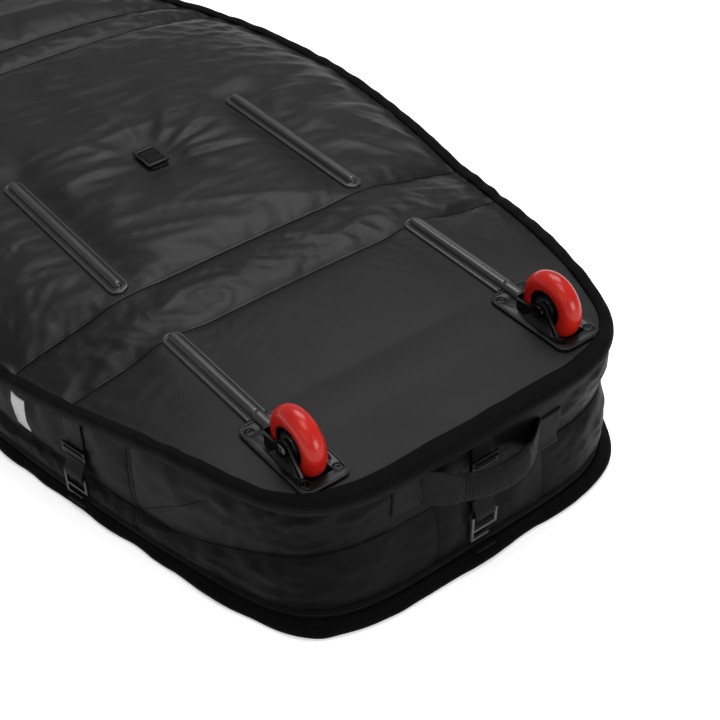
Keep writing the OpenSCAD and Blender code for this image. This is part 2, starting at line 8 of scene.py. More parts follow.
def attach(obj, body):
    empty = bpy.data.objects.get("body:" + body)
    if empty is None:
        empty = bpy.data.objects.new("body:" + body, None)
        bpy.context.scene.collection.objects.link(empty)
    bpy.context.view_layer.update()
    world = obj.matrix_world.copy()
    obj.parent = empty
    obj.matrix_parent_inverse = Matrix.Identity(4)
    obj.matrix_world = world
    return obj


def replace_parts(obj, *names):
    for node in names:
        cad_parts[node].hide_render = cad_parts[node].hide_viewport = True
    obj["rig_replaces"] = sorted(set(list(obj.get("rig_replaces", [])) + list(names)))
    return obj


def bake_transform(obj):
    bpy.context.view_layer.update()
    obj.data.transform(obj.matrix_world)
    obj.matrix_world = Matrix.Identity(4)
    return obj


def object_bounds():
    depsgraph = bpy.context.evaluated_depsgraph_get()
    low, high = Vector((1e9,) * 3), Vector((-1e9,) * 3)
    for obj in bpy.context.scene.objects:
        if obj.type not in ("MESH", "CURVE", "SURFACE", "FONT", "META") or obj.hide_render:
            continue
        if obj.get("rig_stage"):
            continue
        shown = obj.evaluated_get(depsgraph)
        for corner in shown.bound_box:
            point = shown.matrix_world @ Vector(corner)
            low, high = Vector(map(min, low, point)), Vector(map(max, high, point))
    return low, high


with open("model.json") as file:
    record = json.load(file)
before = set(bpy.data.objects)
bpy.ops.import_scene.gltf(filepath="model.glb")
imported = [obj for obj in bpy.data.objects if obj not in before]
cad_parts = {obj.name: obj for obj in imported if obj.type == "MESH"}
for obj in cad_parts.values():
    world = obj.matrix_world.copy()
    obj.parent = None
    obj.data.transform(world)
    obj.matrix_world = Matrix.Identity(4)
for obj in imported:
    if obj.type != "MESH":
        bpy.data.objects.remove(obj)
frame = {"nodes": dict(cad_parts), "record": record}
CAD_BOX = [list(v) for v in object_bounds()]
NODES = frame["nodes"]
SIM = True
scene = bpy.context.scene
pi, sin, cos = math.pi, math.sin, math.cos

# ------------------------ shape of the shell, in mm
# plan outline: half width and where it is widest, nose reach and power, tail taper,
# start of the tail's curve, tail end, its growth per mm and its squareness
HW, WX, NR, NP, TT, CX, TX, TS, CP = 327, 10, 660, .725, 105, 500, 646, 1.7, 5
# seams across the base: wheel panel | tail strip | middle panel | nose strip | nose panel
SEAMS = X_DECK, X_MID, X_STRIP, X_NOSE = 352, 262, -255, -310
DECK_TILT, AXLE_X, TRACK = math.radians(3.43), 572, 154
DECK_Z = 163.5 + 12 * math.tan(DECK_TILT)
SKID_X, SKID_Y, SKID_SPAN, SKID_LEAN = -8, 152, 264, math.radians(4)
KEEPER_X = 56
WALL_FOOT, SIDE_SPLIT_X, NOSE_SPLIT_X = 23.5, 440, -405.4


def ease(t):
    t = np.clip(t, 0, 1)
    return t * t * (3 - 2 * t)


def half(x, d=0):
    x = np.asarray(x, float)
    nose = (HW + d) * np.maximum(0, 1 - (np.minimum(x - WX, 0) / (NR + d)) ** 2) ** NP
    u = np.clip((x - CX) / (TX + TS * d - CX), 0, 1)
    tail = (HW + d - TT * (np.maximum(x - WX, 0) / 551) ** 1.7) * (1 - u ** CP) ** (1 / CP)
    return np.where(x < WX, nose, tail)


def edge_z(x):
    x = np.asarray(x, float)
    return 70 + 40 * np.clip((x + 650) / 850, 0, 1) + 53 * ease((x - 200) / 360) + .06 * np.maximum(0, x - 560)


def crown(x):
    x = np.asarray(x, float)
    return np.select([x > CX, x > X_DECK, x > X_MID, x > -300],
                     [0 * x, 23 * (CX - x) / 148, 23 + 12 * (X_DECK - x) / 90, 35 - 6 * ease((X_MID - x) / 560)],
                     29 - 29 * ease((-300 - x) / 340))


def base_z(x, y):
    inner = np.maximum(half(x, -14), .5 * half(x)) + 1e-6
    return edge_z(x) + crown(x) * (1 - np.minimum(1, np.abs(y) / inner) ** 3)


def seam_z(x):
    return 46 + 50 * ease((np.asarray(x, float) - 470) / 170)


def loop_at(kind, t, d=0):
    """Point of the right half of the outline at parameter (kind, t), grown outwards by d."""
    x = np.select([kind == 0, kind == 1],
                  [WX - (NR + d) * np.cos(t), WX + (CX - WX) * t],
                  CX + (TX + TS * d - CX) * np.sin(np.clip(t, 0, pi / 2)) ** (2 / CP))
    return x, half(x, d)


def make_loop(n):
    """Parameters of n points evenly spaced round the outline, right side first, nose to tail."""
    s = np.linspace(0, 1, 400)
    tail = np.sort(np.concatenate([np.arcsin(s ** 2.5), np.arccos(np.clip(s, 0, 1) ** 2.5)]))
    kind = np.concatenate([0 * s, 0 * s + 1, 0 * tail + 2])
    t = np.concatenate([s * pi / 2, s, tail])
    x, y = loop_at(kind, t)
    run = np.concatenate([[0], np.cumsum(np.hypot(np.diff(x), np.diff(y)))])
    m = n // 2
    want = (np.arange(m) + .5) / m * run[-1]
    i = np.clip(np.searchsorted(run, want) - 1, 0, len(run) - 2)
    f = (want - run[i]) / np.maximum(run[i + 1] - run[i], 1e-9)
    same = kind[i] == kind[i + 1]
    tt = np.where(same, t[i] + f * (t[i + 1] - t[i]), t[i])
    kk = kind[i]
    side = np.concatenate([np.ones(m), -np.ones(m)])
    arc = np.concatenate([want, 2 * run[-1] - want[::-1]])
    return {"kind": np.concatenate([kk, kk[::-1]]), "t": np.concatenate([tt, tt[::-1]]), "side": side,
            "s": arc, "n": 2 * m, "length": 2 * run[-1]}


def loop_xy(L, d=0, rows=slice(None)):
    x, y = loop_at(L["kind"][rows], L["t"][rows], d)
    return x, y * L["side"][rows]


def slanted(x, y, c, s):
    """x and y in axes turned by the angle with cosine c and sine s."""
    return x * c + y * s, -x * s + y * c


def blob(x, y, px, py, r):
    """1 at the points (px, py) and (px, -py), falling off over a radius r."""
    return np.exp(-(np.hypot(x - px, np.abs(y) - py) / r) ** 2)


def squarish(v, e):
    return np.sign(v) * np.abs(v) ** e


def oval(w, h, n):
    """Closed oval of n points that reaches w and h from its middle."""
    return [(w * cos(a), h * sin(a)) for a in np.linspace(0, 2 * pi, n + 1)[:-1]]


def noise(x, y, size, seed, waves=9):
    """Smooth noise of about -1 to 1, with features of about the given size."""
    rng = np.random.default_rng(seed)
    out = 0
    for _ in range(waves):
        a, f, p = rng.uniform(0, 2 * pi), rng.uniform(.55, 1.6) * 2 * pi / size, rng.uniform(0, 2 * pi)
        out = out + np.sin((x * cos(a) + y * sin(a)) * f + p)
    return out / math.sqrt(waves / 2)


def folds(x, y, long, short, seed, power=1.6):
    """Ridged folds, long along x and short along y, from -0.4 to about 1."""
    bend = noise(x, y, long * 1.6, seed + 50) * short * .5
    n = noise(x / long, (y + bend) / short, 1, seed)
    return np.maximum(0, 1 - np.abs(n) * .9) ** power - .4


# ------------------------ materials
class Mat:
    """A Principled material and short calls that add nodes to it."""

    def __init__(self, name, base, rough, **more):
        self.m = bpy.data.materials.new(name)
        self.m.use_nodes = True
        self.t = self.m.node_tree
        self.p = self.t.nodes["Principled BSDF"]
        self.fill(self.p, {"Base Color": (*base, 1), "Roughness": rough})
        self.fill(self.p, {k.replace("_", " "): v for k, v in more.items()})
        self.coord = self.node("TexCoord")

    def fill(self, n, sockets):
        """Sets or links each named input of a node."""
        for k, v in sockets.items():
            if isinstance(v, bpy.types.NodeSocket):
                self.t.links.new(v, n.inputs[k])
            elif v is not None:
                n.inputs[k].default_value = v

    def node(self, kind, sockets=None, **props):
        n = self.t.nodes.new("ShaderNode" + kind)
        for k, v in props.items():
            setattr(n, k, v)
        self.fill(n, sockets or {})
        return n

    def mapped(self, scale, out="Object"):
        scale = scale if hasattr(scale, "__len__") else (scale,) * 3
        return self.node("Mapping", {"Scale": scale, "Vector": self.coord.outputs[out]}).outputs["Vector"]

    def noise(self, scale, detail=3, vector=None):
        return self.node("TexNoise", {"Scale": scale, "Detail": detail, "Roughness": .55,
                                      "Vector": vector or self.coord.outputs["Object"]}).outputs["Fac"]

    def wave(self, per_metre, axis, vector, profile="SIN"):
        return self.node("TexWave", {"Scale": per_metre * pi / 10, "Distortion": 0, "Vector": vector},
                         bands_direction=axis, wave_profile=profile).outputs["Fac"]

    def math(self, op, a, b):
        return self.node("Math", {0: a, 1: b}, operation=op).outputs[0]

    def total(self, *pairs):
        """Sum of the products of pairs of values or sockets."""
        out = None
        for a, b in pairs:
            part = self.math("MULTIPLY", a, b)
            out = part if out is None else self.math("ADD", out, part)
        return out

    def ramp(self, fac, stops):
        n = self.node("ValToRGB", {"Fac": fac})
        for el, (at, col) in zip(n.color_ramp.elements, stops):
            el.position = at
            el.color = (*col, 1)
        return n.outputs["Color"]

    def spread(self, fac, low, high):
        return self.node("MapRange", {"To Min": low, "To Max": high, "Value": fac}).outputs["Result"]

    def bump(self, height, strength, distance, under=None):
        return self.node("Bump", {"Strength": strength, "Distance": distance, "Height": height,
                                  "Normal": under}).outputs["Normal"]

    def finish(self, color, rough, normal):
        self.fill(self.p, {"Base Color": color, "Roughness": rough, "Normal": normal})
        return self.m


def tone(c, k):
    return tuple(v * k for v in c)


def fabric(name, base, rough, thread, weave, sheen, vary, crease, spec):
    """Woven cloth: thread is in waves per metre, weave the weave's bump and crease the depth of small creases."""
    m = Mat(name, base, rough, Sheen_Weight=sheen, Sheen_Roughness=.45, Sheen_Tint=(.5, .5, .55, 1),
            Specular_IOR_Level=spec)
    v = m.mapped(1)
    w = m.total((m.wave(thread, "X", v), m.wave(thread, "Y", v)), (m.wave(thread, "Z", v), .6))
    big = m.noise(6, 4, v)
    fine = m.noise(420, 2, v)
    creases = m.bump(m.noise(55, 4, v), .35, crease)
    return m.finish(m.ramp(m.total((big, .8), (fine, .2)), [(.3, tone(base, 1 - vary)), (.72, tone(base, 1 + vary))]),
                    m.spread(m.noise(14, 3, v), rough - .06, rough + .08),
                    m.bump(m.math("ADD", w, m.math("MULTIPLY", fine, .5)), weave, .00022, creases))


def webbing_mat(name, base, rough, rib, spec):
    """Woven strap: ribs along the strap and a herringbone across. Its UV is in metres."""
    m = Mat(name, base, rough, Sheen_Weight=.01, Sheen_Roughness=.5, Specular_IOR_Level=spec)
    v = m.mapped(1, out="UV")
    h = m.total((m.wave(1000 / rib, "X", v), .5), (m.wave(1000 / 2.4, "Y", v, "TRI"), .8),
                (m.wave(1000 / 1.5, "DIAGONAL", v), .4))
    fuzz = m.noise(900, 2, v)
    return m.finish(m.ramp(m.total((h, .45), (fuzz, .3)), [(.15, tone(base, .6)), (.85, tone(base, 1.5))]),
                    None, m.bump(h, .7, .0005, m.bump(fuzz, .3, .0002)))


def plastic(name, base, rough, grain=.15, wear=.3, spec=.3):
    m = Mat(name, base, rough, Specular_IOR_Level=spec)
    n = m.noise(30, 5)
    scratches = m.noise(14, 6, m.mapped((1, 22, 22)))
    return m.finish(m.ramp(m.total((n, 1 - wear), (scratches, wear)),
                           [(.35, tone(base, .8)), (.75, tone(base, 1.35))]),
                    m.spread(m.total((n, .8), (m.noise(300, 2), .2)), rough - .1, rough + .14),
                    m.bump(m.noise(1500, 2), grain, .0001, m.bump(scratches, .06, .0003)))


def metal(name, base, rough=.3, brushed=False):
    m = Mat(name, base, rough, Metallic=1.0)
    return m.finish(m.ramp(m.noise(25, 4), [(.3, tone(base, .82)), (.7, tone(base, 1.08))]),
                    m.spread(m.noise(60, 4), rough - .08, rough + .12),
                    m.bump(m.noise(90, 4, m.mapped((1, 30, 1) if brushed else 1)), .12, .0001))


def make_tyre_mat():
    m = Mat("cast_polyurethane", (.30, .006, .004), .30, Coat_Weight=.16, Coat_Roughness=.04,
            Specular_IOR_Level=.16, Subsurface_Weight=.04, Subsurface_Scale=.006, Subsurface_Radius=(1, .2, .1))
    return m.finish(m.ramp(m.noise(40, 5), [(.3, (.27, .0050, .0030)), (.7, (.37, .011, .006))]),
                    m.spread(m.noise(70, 5), .24, .42), m.bump(m.noise(260, 3), .08, .0003))


MAT = {
    "shell": fabric("coated_shell", (.0058, .0058, .0060), .40, 1100, .25, .012, .14, .0007, .13),
    "strip": fabric("coated_shell_strip", (.0052, .0052, .0054), .40, 1100, .25, .012, .14, .0008, .13),
    "deck": fabric("coated_shell_taut", (.0056, .0056, .0058), .48, 1100, .22, .012, .10, .0003, .11),
    # side-wall fabric: base colour kept far darker than the shell fabric, painted shade standing in for the shade on
    # the walls
    "wall": fabric("wall_fabric", (.0014, .0014, .0015), .46, 800, .4, .004, .2, .0008, .046),
    "lid": fabric("lid_fabric", (.0028, .0028, .0029), .60, 800, .4, .01, .2, .0006, .1),
    "tape": webbing_mat("grosgrain_tape", (.0012, .0012, .0013), .70, 1.0, .04),
    "web": webbing_mat("woven_webbing", (.0030, .0030, .0032), .58, 1.6, .07),
    "lining": fabric("lining_fabric", (.022, .0225, .025), .5, 1200, .2, .05, .12, .0006, .3),
    "foam": fabric("foam_pad", (.10, .10, .11), .85, 300, .2, .0, .12, .001, .2),
    "thread": fabric("sewing_thread", (.0030, .0030, .0033), .6, 2500, .5, .01, .1, .0001, .12),
    "patch": fabric("reflective_tape", (.33, .335, .34), .34, 1400, .25, .02, .05, .0002, .5),
    "plastic": plastic("moulded_plastic", (.0020, .0020, .0022), .32, spec=.20),
    "rail": plastic("skid_plastic", (.017, .0173, .018), .32, .12, .45, .42),
    "hook": plastic("hook_plastic", (.028, .029, .031), .34),
    "tyre": make_tyre_mat(),
    "hub": plastic("hub_plastic", (.0025, .0025, .0028), .34, spec=.22),
    "chrome": metal("ground_steel", (.45, .46, .48), .2),
    "steel": metal("plated_steel", (.4, .41, .43), .34, True),
    "black_steel": metal("black_oxide_steel", (.012, .0125, .013), .26),
    "zip_metal": metal("zipper_metal", (.045, .046, .048), .35),
    "coil": plastic("zipper_coil", (.002, .002, .0022), .4, spec=.2),
    "board": plastic("board_plastic", (.012, .012, .013), .55, .3),
}


# ------------------------ mesh helpers, all in mm
def add_object(name, data):
    o = bpy.data.objects.new(name, data)
    scene.collection.objects.link(o)
    return o


def build(name, verts, faces, material, body, slot, stands_for=(), uv=None, ride=True):
    me = bpy.data.meshes.new(name)
    me.from_pydata((np.asarray(verts, float) * .001).tolist(), [], [tuple(int(i) for i in f) for f in faces])
    me.validate()
    me.materials.append(MAT[material])
    me.polygons.foreach_set("use_smooth", [True] * len(me.polygons))
    if uv is not None:
        layer = me.uv_layers.new(name="strap")
        idx = np.empty(len(me.loops), int)
        me.loops.foreach_get("vertex_index", idx)
        layer.data.foreach_set("uv", (np.asarray(uv, float)[idx] * .001).ravel())
    me.update()
    o = add_object(name, me)
    if ride:
        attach(o, body)
        if stands_for:
            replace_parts(o, *stands_for)
    return o


def apply_modifiers(o):
    bpy.context.view_layer.update()
    g = bpy.context.evaluated_depsgraph_get()
    me = bpy.data.meshes.new_from_object(o.evaluated_get(g), depsgraph=g)
    old = o.data
    o.modifiers.clear()
    o.data = me
    bpy.data.meshes.remove(old)
    return o


def modify(o, kind, **props):
    m = o.modifiers.new(kind, kind)
    for k, v in props.items():
        setattr(m, k, v)
    return apply_modifiers(o)


def fix_normals(o):
    bm = bmesh.new()
    bm.from_mesh(o.data)
    bmesh.ops.remove_doubles(bm, verts=bm.verts, dist=1e-6)
    bmesh.ops.recalc_face_normals(bm, faces=bm.faces)
    bm.to_mesh(o.data)
    bm.free()
    return o


def grid_faces(n, m, close_n=False, close_m=False, flip=False):
    """Faces of an n by m grid whose vertex (i, j) is i * m + j."""
    i = np.arange(n if close_n else n - 1)
    j = np.arange(m if close_m else m - 1)
    a, b = np.meshgrid(i, j, indexing="ij")
    a, b = a.ravel(), b.ravel()
    a2, b2 = (a + 1) % n, (b + 1) % m
    f = np.stack([a * m + b, a2 * m + b, a2 * m + b2, a * m + b2], 1)
    return f[:, ::-1] if flip else f


def tube(path, across, up, section, closed=False, caps=True):
    """Sweeps a closed section [(a, b)] or one section per station along a path with frames across and up."""
    path, across, up = (np.asarray(v, float) for v in (path, across, up))
    n = len(path)
    sec = np.asarray(section, float)
    if sec.ndim == 2:
        sec = np.repeat(sec[None], n, 0)
    m = sec.shape[1]
    v = path[:, None] + across[:, None] * sec[:, :, :1] + up[:, None] * sec[:, :, 1:]
    faces = list(grid_faces(n, m, closed, True))
    if caps and not closed:
        faces += [tuple(range(m)), tuple((n - 1) * m + k for k in reversed(range(m)))]
    run = np.concatenate([[0], np.cumsum(np.linalg.norm(np.diff(path, axis=0), axis=1))])
    uv = np.stack([np.repeat(run, m), sec[:, :, 0].ravel()], 1)
    return v.reshape(-1, 3), faces, uv


def rounded(w, t, n=3, r=None):
    """Closed section of a strap: a rectangle w by t with rounded edges."""
    r = min(t / 2 * .98, w / 2) if r is None else r
    out = []
    for i, (sx, sy) in enumerate(((1, 1), (-1, 1), (-1, -1), (1, -1))):
        for k in range(n + 1):
            a = pi / 2 * (i + k / n)
            out.append((sx * (w / 2 - r) + r * cos(a), sy * (t / 2 - r) + r * sin(a)))
    return np.array(out)


def frames_for(path, across):
    """Unit across and up vectors for a path, with across kept near the given direction."""
    path = np.asarray(path, float)
    tan = np.gradient(path, axis=0)
    tan /= np.linalg.norm(tan, axis=1)[:, None]
    a = np.asarray(across, float)
    a = np.repeat(a[None], len(path), 0) if a.ndim == 1 else a
    a = a - (a * tan).sum(1)[:, None] * tan
    a /= np.linalg.norm(a, axis=1)[:, None]
    return a, np.cross(tan, a)


def solid(name, verts, faces, *rest, **more):
    """A built piece with its normals turned outwards."""
    return fix_normals(build(name, verts, faces, *rest, **more))


def strap(name, path, across, w, t, body, stands_for=()):
    """Webbing w wide and t thick laid along a path."""
    a, u = frames_for(path, across)
    v, f, uv = tube(path, a, u, rounded(w, t))
    return solid(name, v, f, "web", body, "webbing", stands_for, uv)


def resample(path, step):
    path = np.asarray(path, float)
    run = np.concatenate([[0], np.cumsum(np.linalg.norm(np.diff(path, axis=0), axis=1))])
    n = max(3, int(run[-1] / step) + 1)
    want = np.linspace(0, run[-1], n)
    return np.stack([np.interp(want, run, path[:, k]) for k in range(3)], 1)


def smooth_path(points, step=2.5, rounds=3):
    """Chaikin corner cutting, then even spacing."""
    p = np.asarray(points, float)
    for _ in range(rounds):
        q = [p[0]]
        for a, b in zip(p[:-1], p[1:]):
            q += [a * .75 + b * .25, a * .25 + b * .75]
        q.append(p[-1])
        p = np.array(q)
    return resample(p, step)


def join(name, objects):
    """Merges pieces of one body and slot into one object."""
    first = objects[0]
    stands = sorted({n for o in objects for n in o.get("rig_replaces", [])})
    bm = bmesh.new()
    mats = []
    for o in objects:
        start = len(bm.faces)
        bm.from_mesh(o.data)
        bm.faces.ensure_lookup_table()
        remap = []
        for m in o.data.materials:
            if m not in mats:
                mats.append(m)
            remap.append(mats.index(m))
        for f in bm.faces[start:]:
            f.material_index = remap[f.material_index]
    first.data.clear_geometry()
    first.data.materials.clear()
    for m in mats:
        first.data.materials.append(m)
    bm.to_mesh(first.data)
    bm.free()
    for o in objects[1:]:
        bpy.data.objects.remove(o)
    first.name = name
    if stands:
        first["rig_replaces"] = stands
    return first


def stitches(points, normals, length=2.6, gap=1.3, width=.55, lift=.25):
    """Short raised thread dashes along a line of surface points. Returns verts and faces."""
    p, nn = np.asarray(points, float), np.asarray(normals, float)
    run = np.concatenate([[0], np.cumsum(np.linalg.norm(np.diff(p, axis=0), axis=1))])
    starts = np.arange(gap / 2, run[-1] - length, length + gap)
    v, f = [], []

    def along(s, rows):
        return np.array([np.interp(s, run, rows[:, k]) for k in range(3)])

    for s in starts:
        a, b, n = along(s, p), along(s + length, p), along(s + length / 2, nn)
        n = n / (np.linalg.norm(n) + 1e-9)
        t = b - a
        c = np.cross(t, n)
        c = c / (np.linalg.norm(c) + 1e-9) * width / 2
        m = (a + b) / 2 + n * (lift + .25)
        k = len(v)
        low = m - n * .1
        v += [a + n * .02, low - t * .25 - c, low + t * .25 - c, b + n * .02, low + t * .25 + c, low - t * .25 + c,
              m - t * .2, m + t * .2]
        f += [(k, k + 1, k + 6), (k + 1, k + 2, k + 7, k + 6), (k + 2, k + 3, k + 7), (k + 3, k + 4, k + 7),
              (k + 4, k + 5, k + 6, k + 7), (k + 5, k, k + 6)]
    return v, f


class Pile:
    """Verts and faces gathered from many small shapes."""

    def __init__(self):
        self.v, self.f = [], []

    def add(self, v, f):
        self.f += [tuple(i + len(self.v) for i in t) for t in f]
        self.v += list(v)

    def sew(self, points, **how):
        """Stitches along a list of (point, normal)."""
        self.add(*stitches([p for p, _ in points], [n for _, n in points], **how))


def coords(o, scale=1000):
    co = np.empty(len(o.data.vertices) * 3)
    o.data.vertices.foreach_get("co", co)
    return co.reshape(-1, 3) * scale


def set_coords(o, co, scale=.001):
    o.data.vertices.foreach_set("co", (np.asarray(co) * scale).ravel())
    o.data.update()


def cloth(o, pins, pressure, grow, cap, bend, frames=20):
    """Runs Blender's Cloth on o with pinned points, caps how far a point moves (mm), and applies it."""
    group = o.vertex_groups.new(name="pin")
    for level in np.unique(np.round(pins, 2)):
        group.add([int(i) for i in np.nonzero(np.round(pins, 2) == level)[0]], float(level), "REPLACE")
    before = coords(o, 1)
    m = o.modifiers.new("Cloth", "CLOTH")
    s = m.settings
    s.quality = 5
    s.mass = .25
    s.tension_stiffness = s.compression_stiffness = 12
    s.shear_stiffness = 4
    s.bending_stiffness = bend
    s.tension_damping = s.compression_damping = 8
    s.shear_damping = 5
    s.bending_damping = .5
    s.vertex_group_mass = "pin"
    s.pin_stiffness = 1
    s.shrink_min = -grow
    s.use_pressure = True
    s.uniform_pressure_force = pressure
    s.effector_weights.gravity = 0
    m.collision_settings.use_collision = False
    m.collision_settings.use_self_collision = False
    m.point_cache.frame_start, m.point_cache.frame_end = 1, frames
    for f in range(1, frames + 1):
        scene.frame_set(f)
    apply_modifiers(o)
    scene.frame_set(1)
    move = coords(o, 1) - before
    size, cap = np.linalg.norm(move, axis=1), cap * .001
    move *= (cap * np.tanh(size / cap) / np.maximum(size, 1e-9))[:, None]
    set_coords(o, before + move, 1)
    o.vertex_groups.clear()
    return o


def split(o, names, key):
    """Splits o by key(centres) giving a piece number per face. names: (name, material, body, slot, stands_for)."""
    me = o.data
    c = np.empty(len(me.polygons) * 3)
    me.polygons.foreach_get("center", c)
    which = key(c.reshape(-1, 3) * 1000)
    co = coords(o)
    polys = [tuple(p.vertices) for p in me.polygons]
    out = []
    for i, (name, material, body, slot, stands) in enumerate(names):
        mine = [polys[k] for k in np.nonzero(which == i)[0]]
        used = sorted({v for f in mine for v in f})
        back = {v: k for k, v in enumerate(used)}
        out.append(build(name, co[used], [[back[v] for v in f] for f in mine], material, body, slot, stands))
    bpy.data.objects.remove(o)
    return out


def hard_copy(node, name, material, width, segments=2, angle=30):
    """A bevelled copy of a CAD node, with the same shape and place."""
    src = NODES[node]
    me = src.data.copy()
    me.materials.clear()
    me.materials.append(MAT[material])
    for layer in list(me.uv_layers):
        me.uv_layers.remove(layer)
    o = add_object(name, me)
    bm = bmesh.new()
    bm.from_mesh(me)
    bmesh.ops.remove_doubles(bm, verts=bm.verts, dist=2e-6)
    bmesh.ops.dissolve_limit(bm, angle_limit=math.radians(.6), verts=bm.verts, edges=bm.edges)
    for f in bm.faces:
        f.smooth = True
    bm.to_mesh(me)
    bm.free()
    if me.attributes.get("custom_normal"):
        me.attributes.remove(me.attributes["custom_normal"])
    modify(o, "BEVEL", width=width * .001, segments=segments, limit_method="ANGLE", angle_limit=math.radians(angle),
           use_clamp_overlap=True, miter_outer="MITER_ARC", harden_normals=False)
    bm = bmesh.new()
    bm.from_mesh(o.data)
    for e in bm.edges:
        if len(e.link_faces) == 2 and e.calc_face_angle(0) > math.radians(42):
            e.smooth = False
    for f in bm.faces:
        f.smooth = True
    bm.to_mesh(o.data)
    bm.free()
    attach(o, next(b for b, ns in frame["record"]["behaviour"]["bodies"].items() if node in ns))
    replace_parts(o, node)
    return o


# ------------------------ base cover
skid_z = float(base_z(SKID_X, SKID_Y)) + 1.2
skid_slope = (float(base_z(SKID_X + SKID_SPAN, SKID_Y)) + 1.2 - skid_z) / SKID_SPAN


def skid_plane(x, y):
    return skid_z + (x - SKID_X) * skid_slope - (np.abs(y) - SKID_Y) * math.tan(SKID_LEAN)


def deck_plane(x):
    return 163.5 + (x - 560) * math.tan(DECK_TILT)


def box_distance(x, y, x0, x1, y0, y1):
    return np.hypot(np.maximum(0, np.maximum(x0 - x, x - x1)), np.maximum(0, np.maximum(y0 - y, y - y1)))


def footprints(x, y):
    """(distance, target height) of what is fixed on the cover."""
    a = np.abs(y)
    keep_z = float(base_z(KEEPER_X, 0)) + .4
    return [(box_distance(x, a, X_DECK, 510, 143, 165), deck_plane(x) + .3),
            (box_distance(x, a, 503, 619, 127, 181), deck_plane(x) - .1),
            (box_distance(x, a, -8, 254, 141, 163), skid_plane(x, y) - .5),
            (box_distance(x, y, 32, 80, -14, 14), keep_z + (x - KEEPER_X) * .04)]


def press_down(x, y, z, reach=24):
    for dist, target in footprints(x, y):
        w = np.exp(-(dist / reach) ** 2)
        z = z * (1 - w) + target * w
    return z


def rim_distance(x, y):
    L = make_loop(900)
    bx, by = loop_xy(L)
    q, s = np.empty(len(x)), np.empty(len(x))
    for i in range(0, len(x), 2000):
        d = np.hypot(x[i:i + 2000, None] - bx, y[i:i + 2000, None] - by)
        k = d.argmin(1)
        q[i:i + 2000], s[i:i + 2000] = d[np.arange(len(k)), k], L["s"][k]
    return q, s


# ridges that run out from the keeper: direction, angular width, height, reach
FANS = [(1.15, .10, 6.0, 210), (1.50, .09, 6.5, 240), (1.86, .10, 5.0, 200), (2.35, .12, 3.6, 150),
        (.70, .12, 3.6, 130), (-.2, .13, 2.6, 110), (-1.0, .13, 2.6, 130), (-1.75, .12, 3.4, 150),
        (-2.5, .13, 3.0, 160), (3.0, .13, 3.0, 150)]


def in_strip(x):
    return ((x > X_MID) & (x < X_DECK)) | ((x > X_NOSE) & (x < X_STRIP))


def cover_height(x, y, q, s):
    """Height of the base covers. q is the distance from the rim and s the place along it."""
    ds = np.min([np.abs(x - v) for v in SEAMS], 0)
    mid = (x < X_MID) & (x > X_STRIP)
    strip = in_strip(x)
    deck = x > X_DECK
    inside = 1 - np.exp(-q / 12)
    z = base_z(x, y)
    z = z - 5.4 * np.exp(-ds / 6) * inside
    puff = np.where(mid, 5.5, np.where(strip, 4.0, np.where(deck, .8, 5.0)))
    z = z + puff * ease(ds / 42) * ease(q / 45)
    # folds that run in from the rim
    f = folds(q, s, 150, 24, 11)
    z = z + np.where(deck, 1.3 * ease((CX - x) / 100), 2.6) * f * np.exp(-q / 95) * inside
    f = folds(q, s, 90, 13, 12)
    z = z + np.where(deck, .4, .6) * f * np.exp(-q / 30) * inside
    # folds off the cross seams
    f = folds(ds, y, 60, 20, 13)
    z = z + np.where(deck, .35, 1.1) * f * np.exp(-ds / 22) * inside * (1 - np.exp(-ds / 3))
    # small fans of folds where the wheel panel's front corners pull
    cr, ca = np.hypot(x - 346, np.abs(y) - 262), np.arctan2(np.abs(y) - 262, x - 346)
    fan = np.abs(np.sin(5.5 * ca + .25 * np.sign(y) + .004 * cr)) ** 1.6 - .4
    z = z + np.where(deck, 3.0, 0) * fan * np.exp(-(cr / 85) ** 2) * (1 - np.exp(-(cr / 28) ** 2)) * inside
    # soft folds in the cross strips, at a slant
    z = z + np.where(strip, 2.8, 0) * folds(*slanted(x, y, .5, .87), 120, 30, 14) * ease(ds / 22) * inside
    # long shallow folds over the middle panel and the nose panel
    f = folds(*slanted(x, y, .34, .94), 420, 70, 15)
    z = z + np.where(mid | (x < X_NOSE), 2.0, 0) * f * inside * ease(ds / 40)
    z = z + np.where(mid, 1.0, 0) * folds(*slanted(x, y, .5, .87), 300, 38, 16) * inside * ease(ds / 30)
    # pulled in round the keeper
    r, a = np.hypot(x - KEEPER_X, y), np.arctan2(y, x - KEEPER_X)
    z = z - np.where(mid, 4.5, 0) * np.exp(-(r / 60) ** 2)
    for toward, wide, high, far in FANS:
        bend = a - toward - .0011 * (r - 40)
        bend = (bend + pi) % (2 * pi) - pi
        ridge = np.exp(-(bend / wide) ** 2) * np.exp(-(r / far) ** 2) * (1 - np.exp(-(r / 34) ** 2))
        z = z + np.where(mid, high, 0) * ridge * inside
    return z


